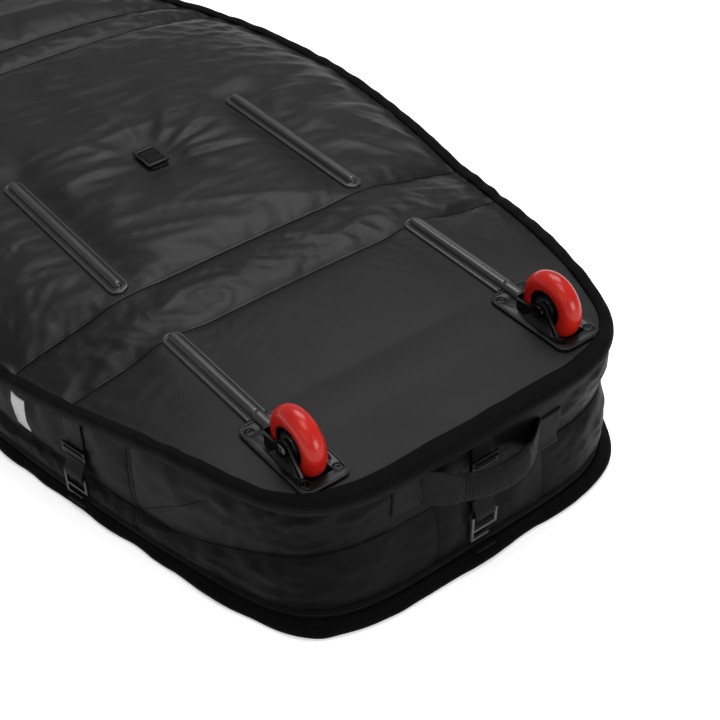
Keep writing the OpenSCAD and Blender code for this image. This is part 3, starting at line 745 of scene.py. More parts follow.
def make_cover():
    B = make_loop(460)
    bx, by = loop_xy(B, -1.5)
    pts = list(zip(bx.tolist(), by.tolist()))
    edges = [(i, (i + 1) % len(pts)) for i in range(len(pts))]
    step = 7.6
    for sx in SEAMS:
        h = float(half(sx, -1.5)) - 3
        ys = np.linspace(-h, h, int(2 * h / step) + 1)
        k = len(pts)
        pts += [(sx, float(v)) for v in ys]
        edges += [(k + i, k + i + 1) for i in range(len(ys) - 1)]
    gx = np.arange(-650, 647, step * .866)
    for i, xv in enumerate(gx):
        if min(abs(xv - v) for v in SEAMS) < 3.4:
            continue
        h = float(half(xv, -1.5)) - 5
        if h < 2:
            continue
        ys = np.arange(-340 + (i % 2) * step / 2, 340, step)
        pts += [(float(xv), float(v)) for v in ys if abs(v) < h]
    out = delaunay_2d_cdt([Vector(p) for p in pts], edges, [], 1, 1e-4, False)
    xy = np.array([tuple(v) for v in out[0]])
    faces = np.array(out[2])
    x, y = xy[:, 0], xy[:, 1]
    q, s = rim_distance(x, y)
    z = press_down(x, y, cover_height(x, y, q, s))
    return x, y, z, q, faces


WELL_BACK, WELL_FRONT, WELL_HALF = 49, 40, 20


def keep_faces(x, y, faces):
    """Faces outside the holes for the wheel wells."""
    c = np.stack([x[faces].mean(1), np.abs(y[faces].mean(1))], 1)
    in_x = (c[:, 0] > AXLE_X - WELL_BACK) & (c[:, 0] < AXLE_X + WELL_FRONT)
    hole = in_x & (np.abs(c[:, 1] - TRACK) < WELL_HALF)
    return faces[~hole]


cx_, cy_, cz_, cq_, cfaces = make_cover()
cfaces = keep_faces(cx_, cy_, cfaces)
cover = build("cover", np.stack([cx_, cy_, cz_], 1), cfaces, "shell", "bag", "shell_fabric", ride=False)
if SIM:
    ds_ = np.min([np.abs(cx_ - v) for v in SEAMS], 0)
    pins = np.where(cx_ > X_DECK, np.clip(.6 + (cx_ - X_DECK) / 250, 0, .97), np.where(in_strip(cx_), .25, .12))
    pins = np.maximum(pins, np.clip(1.25 - cq_ / 10, 0, 1))
    pins = np.where(ds_ < 1.2, 1, pins)
    for dist, _ in footprints(cx_, cy_):
        pins = np.maximum(pins, np.clip(1 - (dist - 3) / 12, 0, 1))
    cloth(cover, pins, pressure=3, grow=.006, cap=5, bend=8)
    co = coords(cover)
    for dist, target in footprints(co[:, 0], co[:, 1]):
        co[:, 2] = np.where(dist < 2.5, np.minimum(co[:, 2], target), co[:, 2])
    set_coords(cover, co)
modify(cover, "SUBSURF", levels=1, render_levels=1, boundary_smooth="PRESERVE_CORNERS")
cover_tree = BVHTree.FromObject(cover, bpy.context.evaluated_depsgraph_get())


def on_cover(x, y):
    """Point and normal on the finished cover."""
    hit, n, _, _ = cover_tree.ray_cast(Vector((x * .001, y * .001, .4)), Vector((0, 0, -1)))
    if hit is None:
        return np.array((x, y, float(base_z(x, y)))), np.array((0, 0, 1.0))
    return np.array(hit) * 1000, np.array(n) * (1 if n.z > 0 else -1)


def cover_key(c):
    return np.select([c[:, 0] > x for x in SEAMS], [0, 1, 2, 3], 4)


COVERS = [("base_tail_cover", "deck", "base_tail_panel", .3),
          ("base_tail_strip_cover", "strip", "base_tail_strip", .5),
          ("base_mid_cover", "shell", "base_mid_panel", .6),
          ("base_nose_strip_cover", "strip", "base_nose_strip", .5),
          ("base_nose_cover", "shell", "base_nose_panel", .6)]
cover_parts = split(cover, [(name, look, "bag", "shell_fabric", [node]) for name, look, node, _ in COVERS], cover_key)

# topstitching beside the cross seams
thread = Pile()
for sx in SEAMS:
    for off in (-4.2, 4.2):
        h = float(half(sx)) - 12
        thread.sew([on_cover(sx + off, v) for v in np.linspace(-h, h, 160)])
build("base_topstitch", thread.v, thread.f, "thread", "bag", "binding_tape")

# ------------------------ pad and lining inside the base
keep = cq_ > 13
inner = np.nonzero(keep)[0]
back = -np.ones(len(cx_), int)
back[inner] = np.arange(len(inner))
f_in = cfaces[keep[cfaces].all(1)]
c = np.stack([cx_[f_in].mean(1), np.abs(cy_[f_in].mean(1))], 1)
f_in = f_in[~((c[:, 0] > 500) & (c[:, 0] < 624) & (np.abs(c[:, 1] - TRACK) < 32))]
xi, yi = cx_[inner], cy_[inner]
PAD_DEPTH, PAD_LEAST = 15.6, 14.2  # the lining below the base's height
zi = base_z(xi, yi) - PAD_DEPTH + .9 * noise(xi, yi, 60, 31) * (cq_[inner] > 20)
zi = np.minimum(zi, base_z(xi, yi) - PAD_LEAST)
pad = build("base_pad", np.stack([xi, yi, zi], 1), back[f_in], "lining", "bag", "lining",
            ["base_foam", "base_lining"])
modify(pad, "SOLIDIFY", thickness=.008, offset=1)

# ------------------------ side walls
WL = make_loop(560)
ROWS_L, ROWS_U = 12, 12


def arc_near(x, y):
    lx, ly = loop_xy(WL)
    return WL["s"][np.hypot(lx - x, ly - y).argmin()]


def arc_gap(s, at):
    d = np.abs(s - at)
    return np.minimum(d, WL["length"] - d)


UPPER_SEAMS = [arc_near(x, y) for x, y in ((SIDE_SPLIT_X, -259), (SIDE_SPLIT_X, 259), (-405, -229), (-405, 229))]
LOWER_SEAMS = [arc_near(TX, -55), arc_near(TX, 85)] + UPPER_SEAMS
# where straps and handle hold the wall flat: place, width, share
FLAT_SPOTS = [(arc_near(TX, 0), 26, 1.0), (arc_near(365, -277), 24, .8), (arc_near(365, 277), 24, .8),
              (arc_near(TX, -90), 26, .7), (arc_near(TX, 90), 26, .7)]


def wall_surface():
    s = WL["s"][:, None]
    x0, y0 = loop_xy(WL)
    top, mid = edge_z(x0) - 1.5, seam_z(x0)
    fl = np.linspace(0, 1, ROWS_L + 1)[None, :]
    fu = np.linspace(0, 1, ROWS_U + 1)[None, 1:]
    low_h, up_h = (mid - WALL_FOOT)[:, None], (top - mid)[:, None]
    z = np.concatenate([WALL_FOOT + fl * low_h, mid[:, None] + fu * up_h], 1)
    calm = 1 - sum(k * np.exp(-(arc_gap(s, at) / w) ** 2) for at, w, k in FLAT_SPOTS)
    tail = ((WL["kind"] == 2) & (x0 > 600))[:, None]
    scale = np.where(tail, 1 / TS, 1)
    d_low = 6 * (1 - fl) + (.9 + .072 * low_h) * np.sin(pi * fl) ** .8 * calm * scale
    d_up = (.4 + .040 * up_h) * np.sin(pi * fu) ** .8 * calm * scale
    d = np.concatenate([d_low, d_up], 1)
    S = np.repeat(s, z.shape[1], 1)
    corner = blob(x0, y0, 585, 215, 110)[:, None]
    f = folds(S, z, 170, 22, 21)
    upper = z > mid[:, None] + 1
    hold = np.where(upper, 1, np.sin(pi * np.clip((z - 23) / low_h, 0, 1)))
    d = d + np.where(upper, 1.2 + 3.2 * corner, 1.4 + 2.2 * corner) * f * calm * hold
    f = folds(z, S, 60, 17, 22)
    d = d + np.where(upper, .5 * np.exp(-(top[:, None] - z) / 14), .9 * np.exp(-(z - WALL_FOOT) / 9)) * f
    d = d + .7 * np.exp(-np.abs(z - mid[:, None]) / 7) * folds(z, S, 60, 19, 23)
    d = d - 1.4 * np.exp(-((z - mid[:, None]) / 4) ** 2) * scale
    for at in LOWER_SEAMS:
        d = d - np.where(upper, 0, 1.8) * np.exp(-(arc_gap(S, at) / 4.5) ** 2) * scale
    for at in UPPER_SEAMS:
        d = d - np.where(upper, 1.8, 0) * np.exp(-(arc_gap(S, at) / 4.5) ** 2)
    edge = np.minimum(1, (top[:, None] - z) / 6)
    d = np.where(upper, d * edge + .6 * (1 - edge), d)
    m = z.shape[1]
    kind, t = np.repeat(WL["kind"][:, None], m, 1), np.repeat(WL["t"][:, None], m, 1)
    X, Y = loop_at(kind, t, d)
    Y = Y * WL["side"][:, None]
    return np.stack([X, Y, z], 2), m


W, w_m = wall_surface()
wall = build("wall", W.reshape(-1, 3), grid_faces(len(W), w_m, True, flip=True), "wall", "bag", "wall_fabric",
             ride=False)
if SIM:
    row = np.tile(np.arange(w_m), len(W))
    arc = np.repeat(WL["s"], w_m)
    pins = np.where((row <= 0) | (row >= w_m - 1) | (row == ROWS_L), 1.0, .02)
    for seams, band in ((LOWER_SEAMS, row < ROWS_L), (UPPER_SEAMS, row > ROWS_L)):
        for at in seams:
            pins = np.where((arc_gap(arc, at) < 5) & band, .9, pins)
    for at, w, k in FLAT_SPOTS:
        pins = np.maximum(pins, np.clip(1.3 - arc_gap(arc, at) / w, 0, .9 * k))
    cloth(wall, pins, pressure=2.5, grow=.010, cap=3.5, bend=2)
modify(wall, "SUBSURF", levels=1, render_levels=1, boundary_smooth="PRESERVE_CORNERS")
wall_tree = BVHTree.FromObject(wall, bpy.context.evaluated_depsgraph_get())


def wall_frame(x, side):
    """Foot, outward and along vectors on the outline: x along the bag, or the tail end when x is None."""
    if x is None:
        return np.array((TX, 0, 0.0)), np.array((1.0, 0, 0)), np.array((0, 1.0, 0))
    turn = math.atan((float(half(x - 5)) - float(half(x + 5))) / 10)
    phi = side * (pi / 2 - turn)
    return (np.array((x, side * float(half(x)), 0)), np.array((cos(phi), sin(phi), 0)),
            np.array((-sin(phi), cos(phi), 0)))


def on_walls(foot, out, along, a, z):
    """Point and normal where a ray from outside meets the wall, a along and z up from the foot."""
    start = foot + along * a + out * 70 + np.array((0, 0, z))
    hit, n, _, _ = wall_tree.ray_cast(Vector(start * .001), Vector(-out))
    if hit is None:
        return foot + along * a + np.array((0, 0, z)), out
    n = np.array(n)
    n = n if n @ out > 0 else -n
    return np.array(hit) * 1000, n


def wall_key(c):
    up = c[:, 2] > seam_z(c[:, 0])
    part = np.select([c[:, 0] > SIDE_SPLIT_X, c[:, 0] < NOSE_SPLIT_X, c[:, 1] < 0], [0, 3, 1], 2)
    return np.where(up, part, part + 4)


wall_parts = split(wall, [(f"{band}_wall_{s}_cover", "wall", "bag", "wall_fabric", [f"{band}_wall_{s}"])
                          for band in ("upper", "lower")
                          for s in ("tail", "left", "right", "nose")], wall_key)
for o in wall_parts:
    o.data.materials.append(MAT["lining"])
    modify(o, "SOLIDIFY", thickness=.0042, offset=-1, use_rim=True, material_offset=1)

# topstitching, and dark strips in the seams as painted shade in their grooves
thread, seam_shade = Pile(), Pile()


def lay_seam_shade(points, width=1.1):
    """Thin dark strip laid in a seam, as a tube along surface points: painted shade standing in for the seam's
    groove.
    """
    p = np.array([q for q, _ in points])
    n = np.array([q for _, q in points])
    t = np.gradient(p, axis=0)
    across = np.cross(t, n)
    across /= np.linalg.norm(across, axis=1)[:, None] + 1e-9
    v, f, _ = tube(p, across, n, oval(width / 2, .35, 6))
    seam_shade.add(v, f)


# a dark strip of painted shade along each cross seam of the base
for sx in SEAMS:
    h = float(half(sx)) - 13
    lay_seam_shade([on_cover(sx, v) for v in np.linspace(-h, h, 150)], 2.2)
lx, ly = loop_xy(WL)


def loop_frame(i):
    """Foot, outward and along vectors at point i of the outline."""
    j = (i + 1) % WL["n"]
    along = np.array((lx[j] - lx[i - 1], ly[j] - ly[i - 1], 0))
    along /= np.linalg.norm(along) + 1e-9
    out = np.array((-along[1], along[0], 0))
    foot = np.array((lx[i], ly[i], 0))
    return foot, (-out if out @ (foot - np.array((50, 0, 0))) < 0 else out), along


# along the middle seam, then down the upright seams: a dark strip of painted shade in each seam, with topstitching
# beside it
for off in (-4, 0, 4):
    pts = [on_walls(*loop_frame(i), 0, float(seam_z(lx[i])) + off) for i in [*range(WL["n"]), 0]]
    (thread.sew if off else lay_seam_shade)(pts)
for at, low in [(a, True) for a in LOWER_SEAMS] + [(a, False) for a in UPPER_SEAMS]:
    i = int(np.abs(WL["s"] - at).argmin())
    level = float(seam_z(lx[i]))
    z0, z1 = (26, level - 3) if low else (level + 3, float(edge_z(lx[i])) - 14)
    thread.sew([on_walls(*loop_frame(i), 3.2, z) for z in np.linspace(z0, z1, 30)])
    lay_seam_shade([on_walls(*loop_frame(i), 0, z) for z in np.linspace(z0, z1, 30)])
# a slanted dart beside each tail corner, with a dark strip of painted shade along it
for side in (-1, 1):
    line = [on_walls(*wall_frame(442 + 98 * t, side), 0, 50 + 84 * t) for t in np.linspace(.03, .97, 50)]
    lay_seam_shade(line)
    thread.sew([(p + np.array((2.2, 0, -2.4)), n) for p, n in line])
build("wall_topstitch", thread.v, thread.f, "thread", "bag", "binding_tape")
# the dark seam strips: painted shade in the seam grooves
build("painted_seam_shade", seam_shade.v, seam_shade.f, "tape", "bag", "binding_tape")


# ------------------------ bindings, lid and zipper
def ring(name, L, profile, material, body, slot, stands_for=()):
    """Closed band round the outline. profile(x, y, s) gives (d, z) pairs, one for each corner of its section."""
    x0, y0 = loop_xy(L)
    cols = profile(x0, y0, L["s"])
    pts = []
    for d, z in cols:
        X, Y = loop_at(L["kind"], L["t"], d)
        pts.append(np.stack([X, Y * L["side"], z + 0 * X], 1))
    P = np.stack(pts, 1)
    n, m = P.shape[:2]
    leg = np.concatenate([[0], np.cumsum(np.linalg.norm(np.diff(P[0], axis=0), axis=1))])
    uv = np.stack([np.repeat(L["s"], m), np.tile(leg, n)], 1)
    return solid(name, P.reshape(-1, 3), grid_faces(n, m, True, True), material, body, slot, stands_for, uv)


def ring_noise(s, size, seed):
    """Noise that closes on itself round the outline."""
    a = s / WL["length"] * 2 * pi
    r = WL["length"] / (2 * pi)
    return noise(np.cos(a) * r, np.sin(a) * r, size, seed)


BL = make_loop(1100)


def rim_profile(x, y, s):
    e = edge_z(x)
    wob = ring_noise(s, 45, 41)
    pinch = sum(np.exp(-((x - v) / 9) ** 2) for v in SEAMS)
    near = np.exp(-(box_distance(x, np.abs(y), 500, 625, 120, 190) / 25) ** 2)
    tail = ease((x - 560) / 60)
    r = 8.6 + .25 * ring_noise(s, 140, 42) - 1.6 * near - .6 * pinch - .6 * tail
    low = e - 9.5 - 2.5 * tail
    dz = .5 * wob - 1.8 * pinch
    e = e + dz
    outside = [(2.2, low), (4.0 + .3 * wob, low - .3 + .5 * wob), (5.2, e - 5), (5.4, e - 1), (4.2, e + 2.9)]
    over = [(1.6, e + 4.6), (-r * .45, e + 4.6), (-r * .85, e + 3.5), (-r, e + 2.5), (-r, e + .6)]
    return outside + over + [(-r * .5, e + 2.0), (1.0, e + 1.2)]


def lid_rim_profile(x, y, s):
    wob = ring_noise(s, 80, 43)
    fine = ring_noise(s, 26, 44)
    corner = blob(x, y, 590, 215, 90)
    r = 14.2 + .9 * wob + 5 * corner
    lift = .6 + .9 * np.maximum(0, wob) + .25 * fine
    top = [(6.1, 12.6), (8.4, 12.2 + .3 * fine), (r - 4.5, 9.2 + .4 * fine + lift * .5), (r - 1.2, 7.4 + lift)]
    side = [(r, 5.2 + lift), (r - .4, 2.6 + lift), (r - 2.5, 1.6 + lift)]
    return top + side + [(r - 5.5, 1.4 + lift * .4), (6.1, 1.0)]


ring("base_rim_tape", BL, rim_profile, "tape", "bag", "binding_tape", ["base_binding"])
ring("lid_rim_tape", BL, lid_rim_profile, "tape", "lid", "binding_tape", ["lid_binding"])


def rings_disc(L, d, factors, heights, centre=(20, 0)):
    """A filled outline made of rings shrunk towards a centre."""
    x, y = loop_xy(L, d)
    P = []
    for f, h in zip(factors, heights):
        X, Y = centre[0] + (x - centre[0]) * f, centre[1] + (y - centre[1]) * f
        P.append(np.stack([X, Y, h(X, Y) if callable(h) else h + 0 * X], 1))
    return np.stack(P, 0)


def quilt(x, y):
    """Lid pad with sewn channels across it."""
    gap_x = np.abs((x + 60) % 130 - 65)
    edge = 1 - np.exp(-np.maximum(0, np.minimum(half(x, -10) - np.abs(y), 60)) / 8)
    return 11.6 + 3.4 * (1 - np.exp(-gap_x / 9)) * edge + .35 * noise(x, y, 40, 51) * edge


DL = make_loop(420)
lid_low = rings_disc(DL, 5.6, [.0004, .3, .6, .85, .97, .992, 1, 1, .995], [.4, .3, .3, .25, .2, .3, 1.6, 6.5, 8])
lid_top = rings_disc(DL, 5.6, [.97, .6, .0004], [8, 8, 8])
P = np.concatenate([lid_low, lid_top], 0)
build("lid_shell", P.reshape(-1, 3), grid_faces(len(P), DL["n"], False, True, flip=True), "lid", "lid", "lid_fabric",
      ["lid_panel"])
fac = list(np.linspace(.0004, .985, 60)) + [1, 1.0, .99]
hs = [quilt] * 60 + [11.2, 9.0, 8.2]
P = rings_disc(DL, -10, fac, hs)
pad = build("lid_lining_pad", P.reshape(-1, 3), grid_faces(len(P), DL["n"], False, True), "lining", "lid", "foam",
            ["lid_foam"])
fix_normals(pad)


def tape_profile(z0, z1):
    low = [(3.6, z0), (5.7, z0), (6.3, z0 + 1.0), (6.0, z0 + 2.0)]
    return lambda x, y, s: low + [(6.0, z1 - 2), (6.4, z1 - 1), (5.7, z1), (3.6, z1)]


def coil(z, up):
    """Zipper teeth: one small rounded block per pitch, on one side of the parting plane."""
    n = int(WL["length"] / 2.6)
    L = make_loop(n - n % 2)
    x, y = loop_xy(L, 5.6)
    t = np.stack([np.roll(x, -1) - np.roll(x, 1), np.roll(y, -1) - np.roll(y, 1), 0 * x], 1)
    t /= np.linalg.norm(t, axis=1)[:, None] + 1e-9
    o = np.stack([t[:, 1], -t[:, 0], 0 * x], 1)
    o *= np.sign((o * np.stack([x - 50, y, 0 * x], 1)).sum(1))[:, None]
    c = np.stack([x, y, z + 0 * x], 1) + (t * (.65 if up else -.65))
    # corners of one block: along, outwards and up
    k = [(i * a, b, j * h) for a, b, h in ((.5, -.2, 1.1), (.35, 1.2, .8))
         for i, j in ((-1, -1), (1, -1), (1, 1), (-1, 1))]
    V = np.stack([c + t * a + o * b + np.array((0, 0, h)) for a, b, h in k], 1).reshape(-1, 3)
    q = np.array([(4, 5, 6, 7), (0, 1, 5, 4), (1, 2, 6, 5), (2, 3, 7, 6), (3, 0, 4, 7)])
    F = (np.arange(len(x))[:, None, None] * 8 + q[None]).reshape(-1, 4)
    return V, F


for name, node, body, z0, z1, zc, up in (
        ("zipper_lid_side", "zipper_lid_tape", "lid", 8.6, 15.4, 15.2, False),
        ("zipper_base_side", "zipper_base_tape", "bag", 16.5, 23.8, 16.9, True)):
    tape = ring(name, BL, tape_profile(z0, z1), "tape", body, "binding_tape", [node])
    V, F = coil(zc, up)
    teeth = build(name + "_coil", V, F, "coil", body, "binding_tape")
    join(name, [tape, teeth])

# fabric hinge inside the far side
gs = np.linspace(-290, 290, 80)
gz = np.linspace(9.5, 22.5, 14)
G = np.array([[(x, float(half(x)) - 4.2 - .8 * sin((z - 9.5) / 13 * pi), z) for z in gz] for x in gs])
gusset = build("hinge_gusset", G.reshape(-1, 3), grid_faces(len(gs), len(gz)), "lining", "bag", "lining", ride=False)
modify(gusset, "SOLIDIFY", thickness=.001, offset=0)
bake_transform(gusset)


# ------------------------ skids and wheel units
def stadium(name, length, profile, place, stands_for, open_end=False, segs=20):
    """A long skid: a profile of (distance from the spine, height) swept round a straight spine along X.
    place turns a local mm point into a frame one."""
    right, left = -pi / 2, pi / 2
    xs = np.linspace(0, length, 30)[1:-1]
    far = [(length, a) for a in ((right, left) if open_end else np.linspace(right, left, segs))]
    track = [(0.0, a) for a in np.linspace(left, 1.5 * pi, segs)] + [(x, right) for x in xs] + far
    track += [(x, left) for x in xs[::-1]]
    P = []
    for cx, a in track:
        for q, h in profile:
            P.append(place(np.array((cx + q * cos(a), q * sin(a), h))))
    faces = grid_faces(len(track), len(profile), True)
    return solid(name, P, faces, "rail", "bag", "moulded_plastic", stands_for)


RIDGE = [(0, 9.0), (1.6, 8.85), (3.0, 8.3), (4.3, 7.2), (5.1, 5.8), (5.5, 4.2), (5.6, 2.9)]
FLANGE = [(5.9, 2.45), (6.6, 2.35), (7.0, 1.5), (7.6, 1.3), (8.1, 1.6), (8.4, 2.5), (9.4, 2.6), (10.6, 2.45),
          (11.2, 1.9), (11.5, 1.1), (11.5, 0)]
SKID, SKID_END = RIDGE + FLANGE, 11.5
for side, tag in ((-1, "left"), (1, "right")):
    R = (Matrix.Translation((SKID_X, side * SKID_Y, skid_z)) @ Matrix.Rotation(-side * SKID_LEAN, 4, "X")
         @ Matrix.Rotation(-math.atan(skid_slope), 4, "Y"))
    stadium(f"mid_skid_{tag}_body", 262 - 2 * SKID_END, SKID,
            lambda p, R=R: np.array(R @ Vector((p[0] + SKID_END, p[1], p[2]))),
            [f"mid_skid_{tag}"])
AXLE_RISE = 22  # axle above the deck
AXLE_Z = DECK_Z + AXLE_RISE / cos(DECK_TILT)
PLATE_TOP = 3.3


def deck_matrix(side):
    return (Matrix.Translation((AXLE_X, side * TRACK, AXLE_Z)) @ Matrix.Rotation(-DECK_TILT, 4, "Y")
            @ Matrix.Translation((0, 0, -AXLE_RISE)) @ Matrix.Diagonal((1, side, 1, 1)))


def moulded(name, verts, faces, material="plastic"):
    return solid(name, verts, faces, material, "bag", "moulded_plastic")


def housing_ridge(put):
    """The rail's ridge, run on over the housing's plate to the well."""
    high = [(q * 1.15, h * 1.04 + .9) for q, h in RIDGE]
    section = high[::-1] + [(-q, h) for q, h in high[1:]] + [(-5.6, .8), (5.6, .8)]
    across, up = put((0, 1, 0)) - put((0, 0, 0)), put((0, 0, 1)) - put((0, 0, 0))
    path = [put((x, 0, 0)) for x in np.linspace(-69, -38.3, 10)]
    return moulded("ridge", *tube(path, [across] * 10, [up] * 10, section)[:2], "rail")


def housing_beads(put):
    """A raised lip round the housing's plate and a collar round each screw."""
    lip = [(cx + 9 * cos(a), cy + 9 * sin(a), PLATE_TOP)
           for cx, cy, a0 in ((35, 16, 0), (-56, 16, pi / 2), (-56, -16, pi), (35, -16, 1.5 * pi))
           for a in np.linspace(a0, a0 + pi / 2, 9)]
    beads = [(resample(lip + lip[:1], 1.5)[:-1], 1.5, .9)]
    for cx, cy in ((-55, 18.5), (-55, -18.5), (33, 18.5), (33, -18.5)):
        beads.append((np.array([(cx + a, cy + b, PLATE_TOP) for a, b in oval(5.5, 5.5, 40)]), .8, .7))
    for path, w, h in beads:
        step = np.roll(path, -1, 0) - np.roll(path, 1, 0)
        out = np.stack([step[:, 1], -step[:, 0], 0 * step[:, 0]], 1) / np.linalg.norm(step, axis=1)[:, None]
        V, F, _ = tube(path, out, [(0, 0, 1)] * len(path), oval(w, h, 10), closed=True)
        yield moulded("lip", [put(p) for p in V], F)


def ear_gusset(put, s, rows=9, cols=21):
    """Gusset outside one ear, from the plate up to under the axle."""
    P = []
    for t in np.linspace(0, 1, rows):
        z, wide, thick = PLATE_TOP - .6 + 11.2 * t, 23 - 13.5 * t, .5 + 6.0 * (1 - t) ** 1.7
        P += [put((wide * squarish(cos(a), .55), s * (16.0 + thick * max(0, sin(a)) ** .45), z))
              for a in np.linspace(-.001, pi + .001, cols)]
    caps = [tuple(range(cols)), tuple((rows - 1) * cols + k for k in reversed(range(cols)))]
    return moulded("gusset", P, list(grid_faces(rows, cols, False, True)) + caps)


for side, tag in ((-1, "left"), (1, "right")):
    D = deck_matrix(side)
    put = lambda p, D=D: np.array(D @ Vector(p))
    stadium(f"wheel_rail_{tag}_body", 149, SKID, lambda p, D=D: np.array(D @ Vector((p[0] - 217.5, p[1], p[2] + .6))),
            [f"wheel_rail_{tag}"], open_end=True)
    housing = hard_copy(f"wheel_housing_{tag}", f"wheel_housing_{tag}_body", "plastic", .7, 3, 34)
    join(f"wheel_housing_{tag}_body", [housing, housing_ridge(put), *housing_beads(put),
                                       ear_gusset(put, -1), ear_gusset(put, 1)])
    hard_copy(f"hub_{tag}", f"hub_{tag}_body", "hub", .35, 2, 35)


def dress(node, material):
    """Keeps a CAD node as it is and gives it a finished material."""
    o = NODES[node]
    o.data.materials.clear()
    o.data.materials.append(MAT[material])


for material, nodes in (("tyre", ["tyre_left", "tyre_right"]), ("chrome", ["bearings_left", "bearings_right"]),
                        ("steel", ["spacer_left", "spacer_right", "backing_plates", "housing_nuts"]),
                        ("board", ["tail_board"])):
    for node in nodes:
        dress(node, material)
# node, end of the piece's name, material, bevel and its segments
for node, ending, material, bevel, segments in (
        ("housing_screws", "_heads", "black_steel", .25, 2), ("axle_bolts", "_heads", "black_steel", .35, 2),
        ("axle_nuts", "_faces", "black_steel", .35, 2), ("keeper_ladder", "_body", "plastic", .7, 3),
        ("tie_buckles", "_bodies", "plastic", .9, 3), ("tail_hook", "_body", "hook", .8, 3),
        ("side_hook_left", "_body", "hub", .8, 3), ("side_hook_right", "_body", "hub", .8, 3),
        ("zipper_slider", "_body", "zip_metal", .25, 2), ("zipper_pull", "_tab", "zip_metal", .3, 2)):
    stem = node[:-1] if ending in ("_heads", "_faces", "_bodies") else node
    hard_copy(node, stem + ending, material, bevel, segments)


# ------------------------ webbing
def patch(name, spot, a0, a1, z0, z1, material, body, slot, stands_for=(), thick=1.7, step=3, box=True):
    """A sewn piece of webbing that follows the wall, with a stitched box and cross. spot is (foot, out, along)."""
    out = spot[1]
    na, nz = max(3, int((a1 - a0) / step)), max(3, int((z1 - z0) / step))
    A, Z = np.linspace(a0, a1, na), np.linspace(z0, z1, nz)
    P = np.array([[on_walls(*spot, a, z)[0] for z in Z] for a in A])
    base = P.copy()
    for _ in range(6):
        lift = P[1:-1] @ out
        bridged = np.maximum(lift, (P[:-2] @ out + P[2:] @ out) / 2)
        P[1:-1] = bridged[..., None] * out + P[1:-1] - lift[..., None] * out
    rim = np.minimum(np.minimum(A - a0, a1 - A)[:, None], np.minimum(Z - z0, z1 - Z)[None, :])
    top = P + out * (thick * (1 - .45 * np.exp(-rim / 1.2)))[..., None]
    low = base - out * .8
    V = np.concatenate([top.reshape(-1, 3), low.reshape(-1, 3)])
    F = list(grid_faces(na, nz)) + [tuple(i + na * nz for i in f[::-1]) for f in grid_faces(na, nz)]
    edge = [i * nz for i in range(na)] + [(na - 1) * nz + j for j in range(1, nz)]
    edge += [i * nz + nz - 1 for i in range(na - 2, -1, -1)] + list(range(nz - 2, 0, -1))
    F += [(p, q, q + na * nz, p + na * nz) for p, q in zip(edge, edge[1:] + edge[:1])]
    uv = np.array([[(Z[j], A[i] - a0) for j in range(nz)] for i in range(na)]).reshape(-1, 2)
    o = solid(name, V, F, material, body, slot, stands_for, np.concatenate([uv, uv]))
    if not box:
        return o

    def on_top(a, z):
        return np.array([np.interp(a, A, [np.interp(z, Z, top[i, :, k]) for i in range(na)]) for k in range(3)])

    m = 2.6
    corners = [(a0 + m, z0 + m), (a1 - m, z0 + m), (a1 - m, z1 - m), (a0 + m, z1 - m)]
    pile = Pile()
    for p, q in [*zip(corners, corners[1:] + corners[:1]), corners[::2], corners[1::2]]:
        line = [on_top(p[0] + (q[0] - p[0]) * t, p[1] + (q[1] - p[1]) * t) for t in np.linspace(0, 1, 24)]
        pile.sew([(p_, out) for p_ in line], width=.7)
    return join(name, [o, build("thread", pile.v, pile.f, "thread", body, slot)])


def on_frame(spot, r, a, z):
    foot, out, along = spot
    return foot + out * r + along * a + np.array((0, 0, z))


def hook_strap(name, node, spot, top_z, ring_r, ring_z):
    """Compression strap from the rim down to a hook's bar, looped round it and sewn back on itself."""
    foot, out, along = spot
    hug = [(max((on_walls(*spot, t, z)[0] - foot) @ out for t in (-11, -5, 0, 5, 11)) + 1.3, z)
           for z in np.linspace(top_z, ring_z + 40, 7)]
    down = hug + [(max(ring_r - 4.6, hug[-1][0] * .5), ring_z + 15), (ring_r - 3.0, ring_z + 5)]
    around = [(ring_r + 2.9 * cos(a), ring_z + 2.9 * sin(a)) for a in np.linspace(pi, 2 * pi, 8)]
    back = [(ring_r + 1.8, ring_z + 6), (ring_r - 2.6, ring_z + 13.5), (ring_r - 4.0, ring_z + 22)]
    path = np.concatenate([smooth_path([on_frame(spot, r, 0, z) for r, z in down], 2, 3),
                           smooth_path([on_frame(spot, r, 0, z) for r, z in around + back], 1.2, 2)])
    o = strap(name, path, along, 25, 1.5, "bag", [node])
    # bar tack across the fold
    tack = Pile()
    for dz in (15.0, 17.0, 19.5):
        r = np.interp(dz, [13.5, 22], [ring_r - 2.6, ring_r - 4.0]) + .9
        tack.sew([(on_frame(spot, r, t, ring_z + dz), out) for t in np.linspace(-10.5, 10.5, 20)],
                 length=1.6, gap=.5, width=.7)
    return join(name, [o, build("tack", tack.v, tack.f, "thread", "bag", "webbing")])


def ladder_lock(name, spot, r, z, w=32):
    """Three-bar ladder lock lying across a strap."""
    _, out, along = spot
    run = np.linspace(-w / 2, w / 2, 12)
    bars = [([on_frame(spot, r + lift + 1.2, t, z + dz) for t in run], (0, 0, 1), rounded(3.0, h, 3, 1.1))
            for dz, h, lift in ((4.6, 2.2, .2), (.2, 2.2, 1.0), (-4.6, 2.6, 0))]
    bars += [([on_frame(spot, r + 1.2, s * (w / 2 - 1.4), z + t) for t in np.linspace(-6, 6, 12)], along,
              rounded(3.2, 2.8, 3, 1.1)) for s in (-1, 1)]
    return join(name, [moulded("bar", *tube(path, [out] * 12, [up] * 12, section)[:2]) for path, up, section in bars])


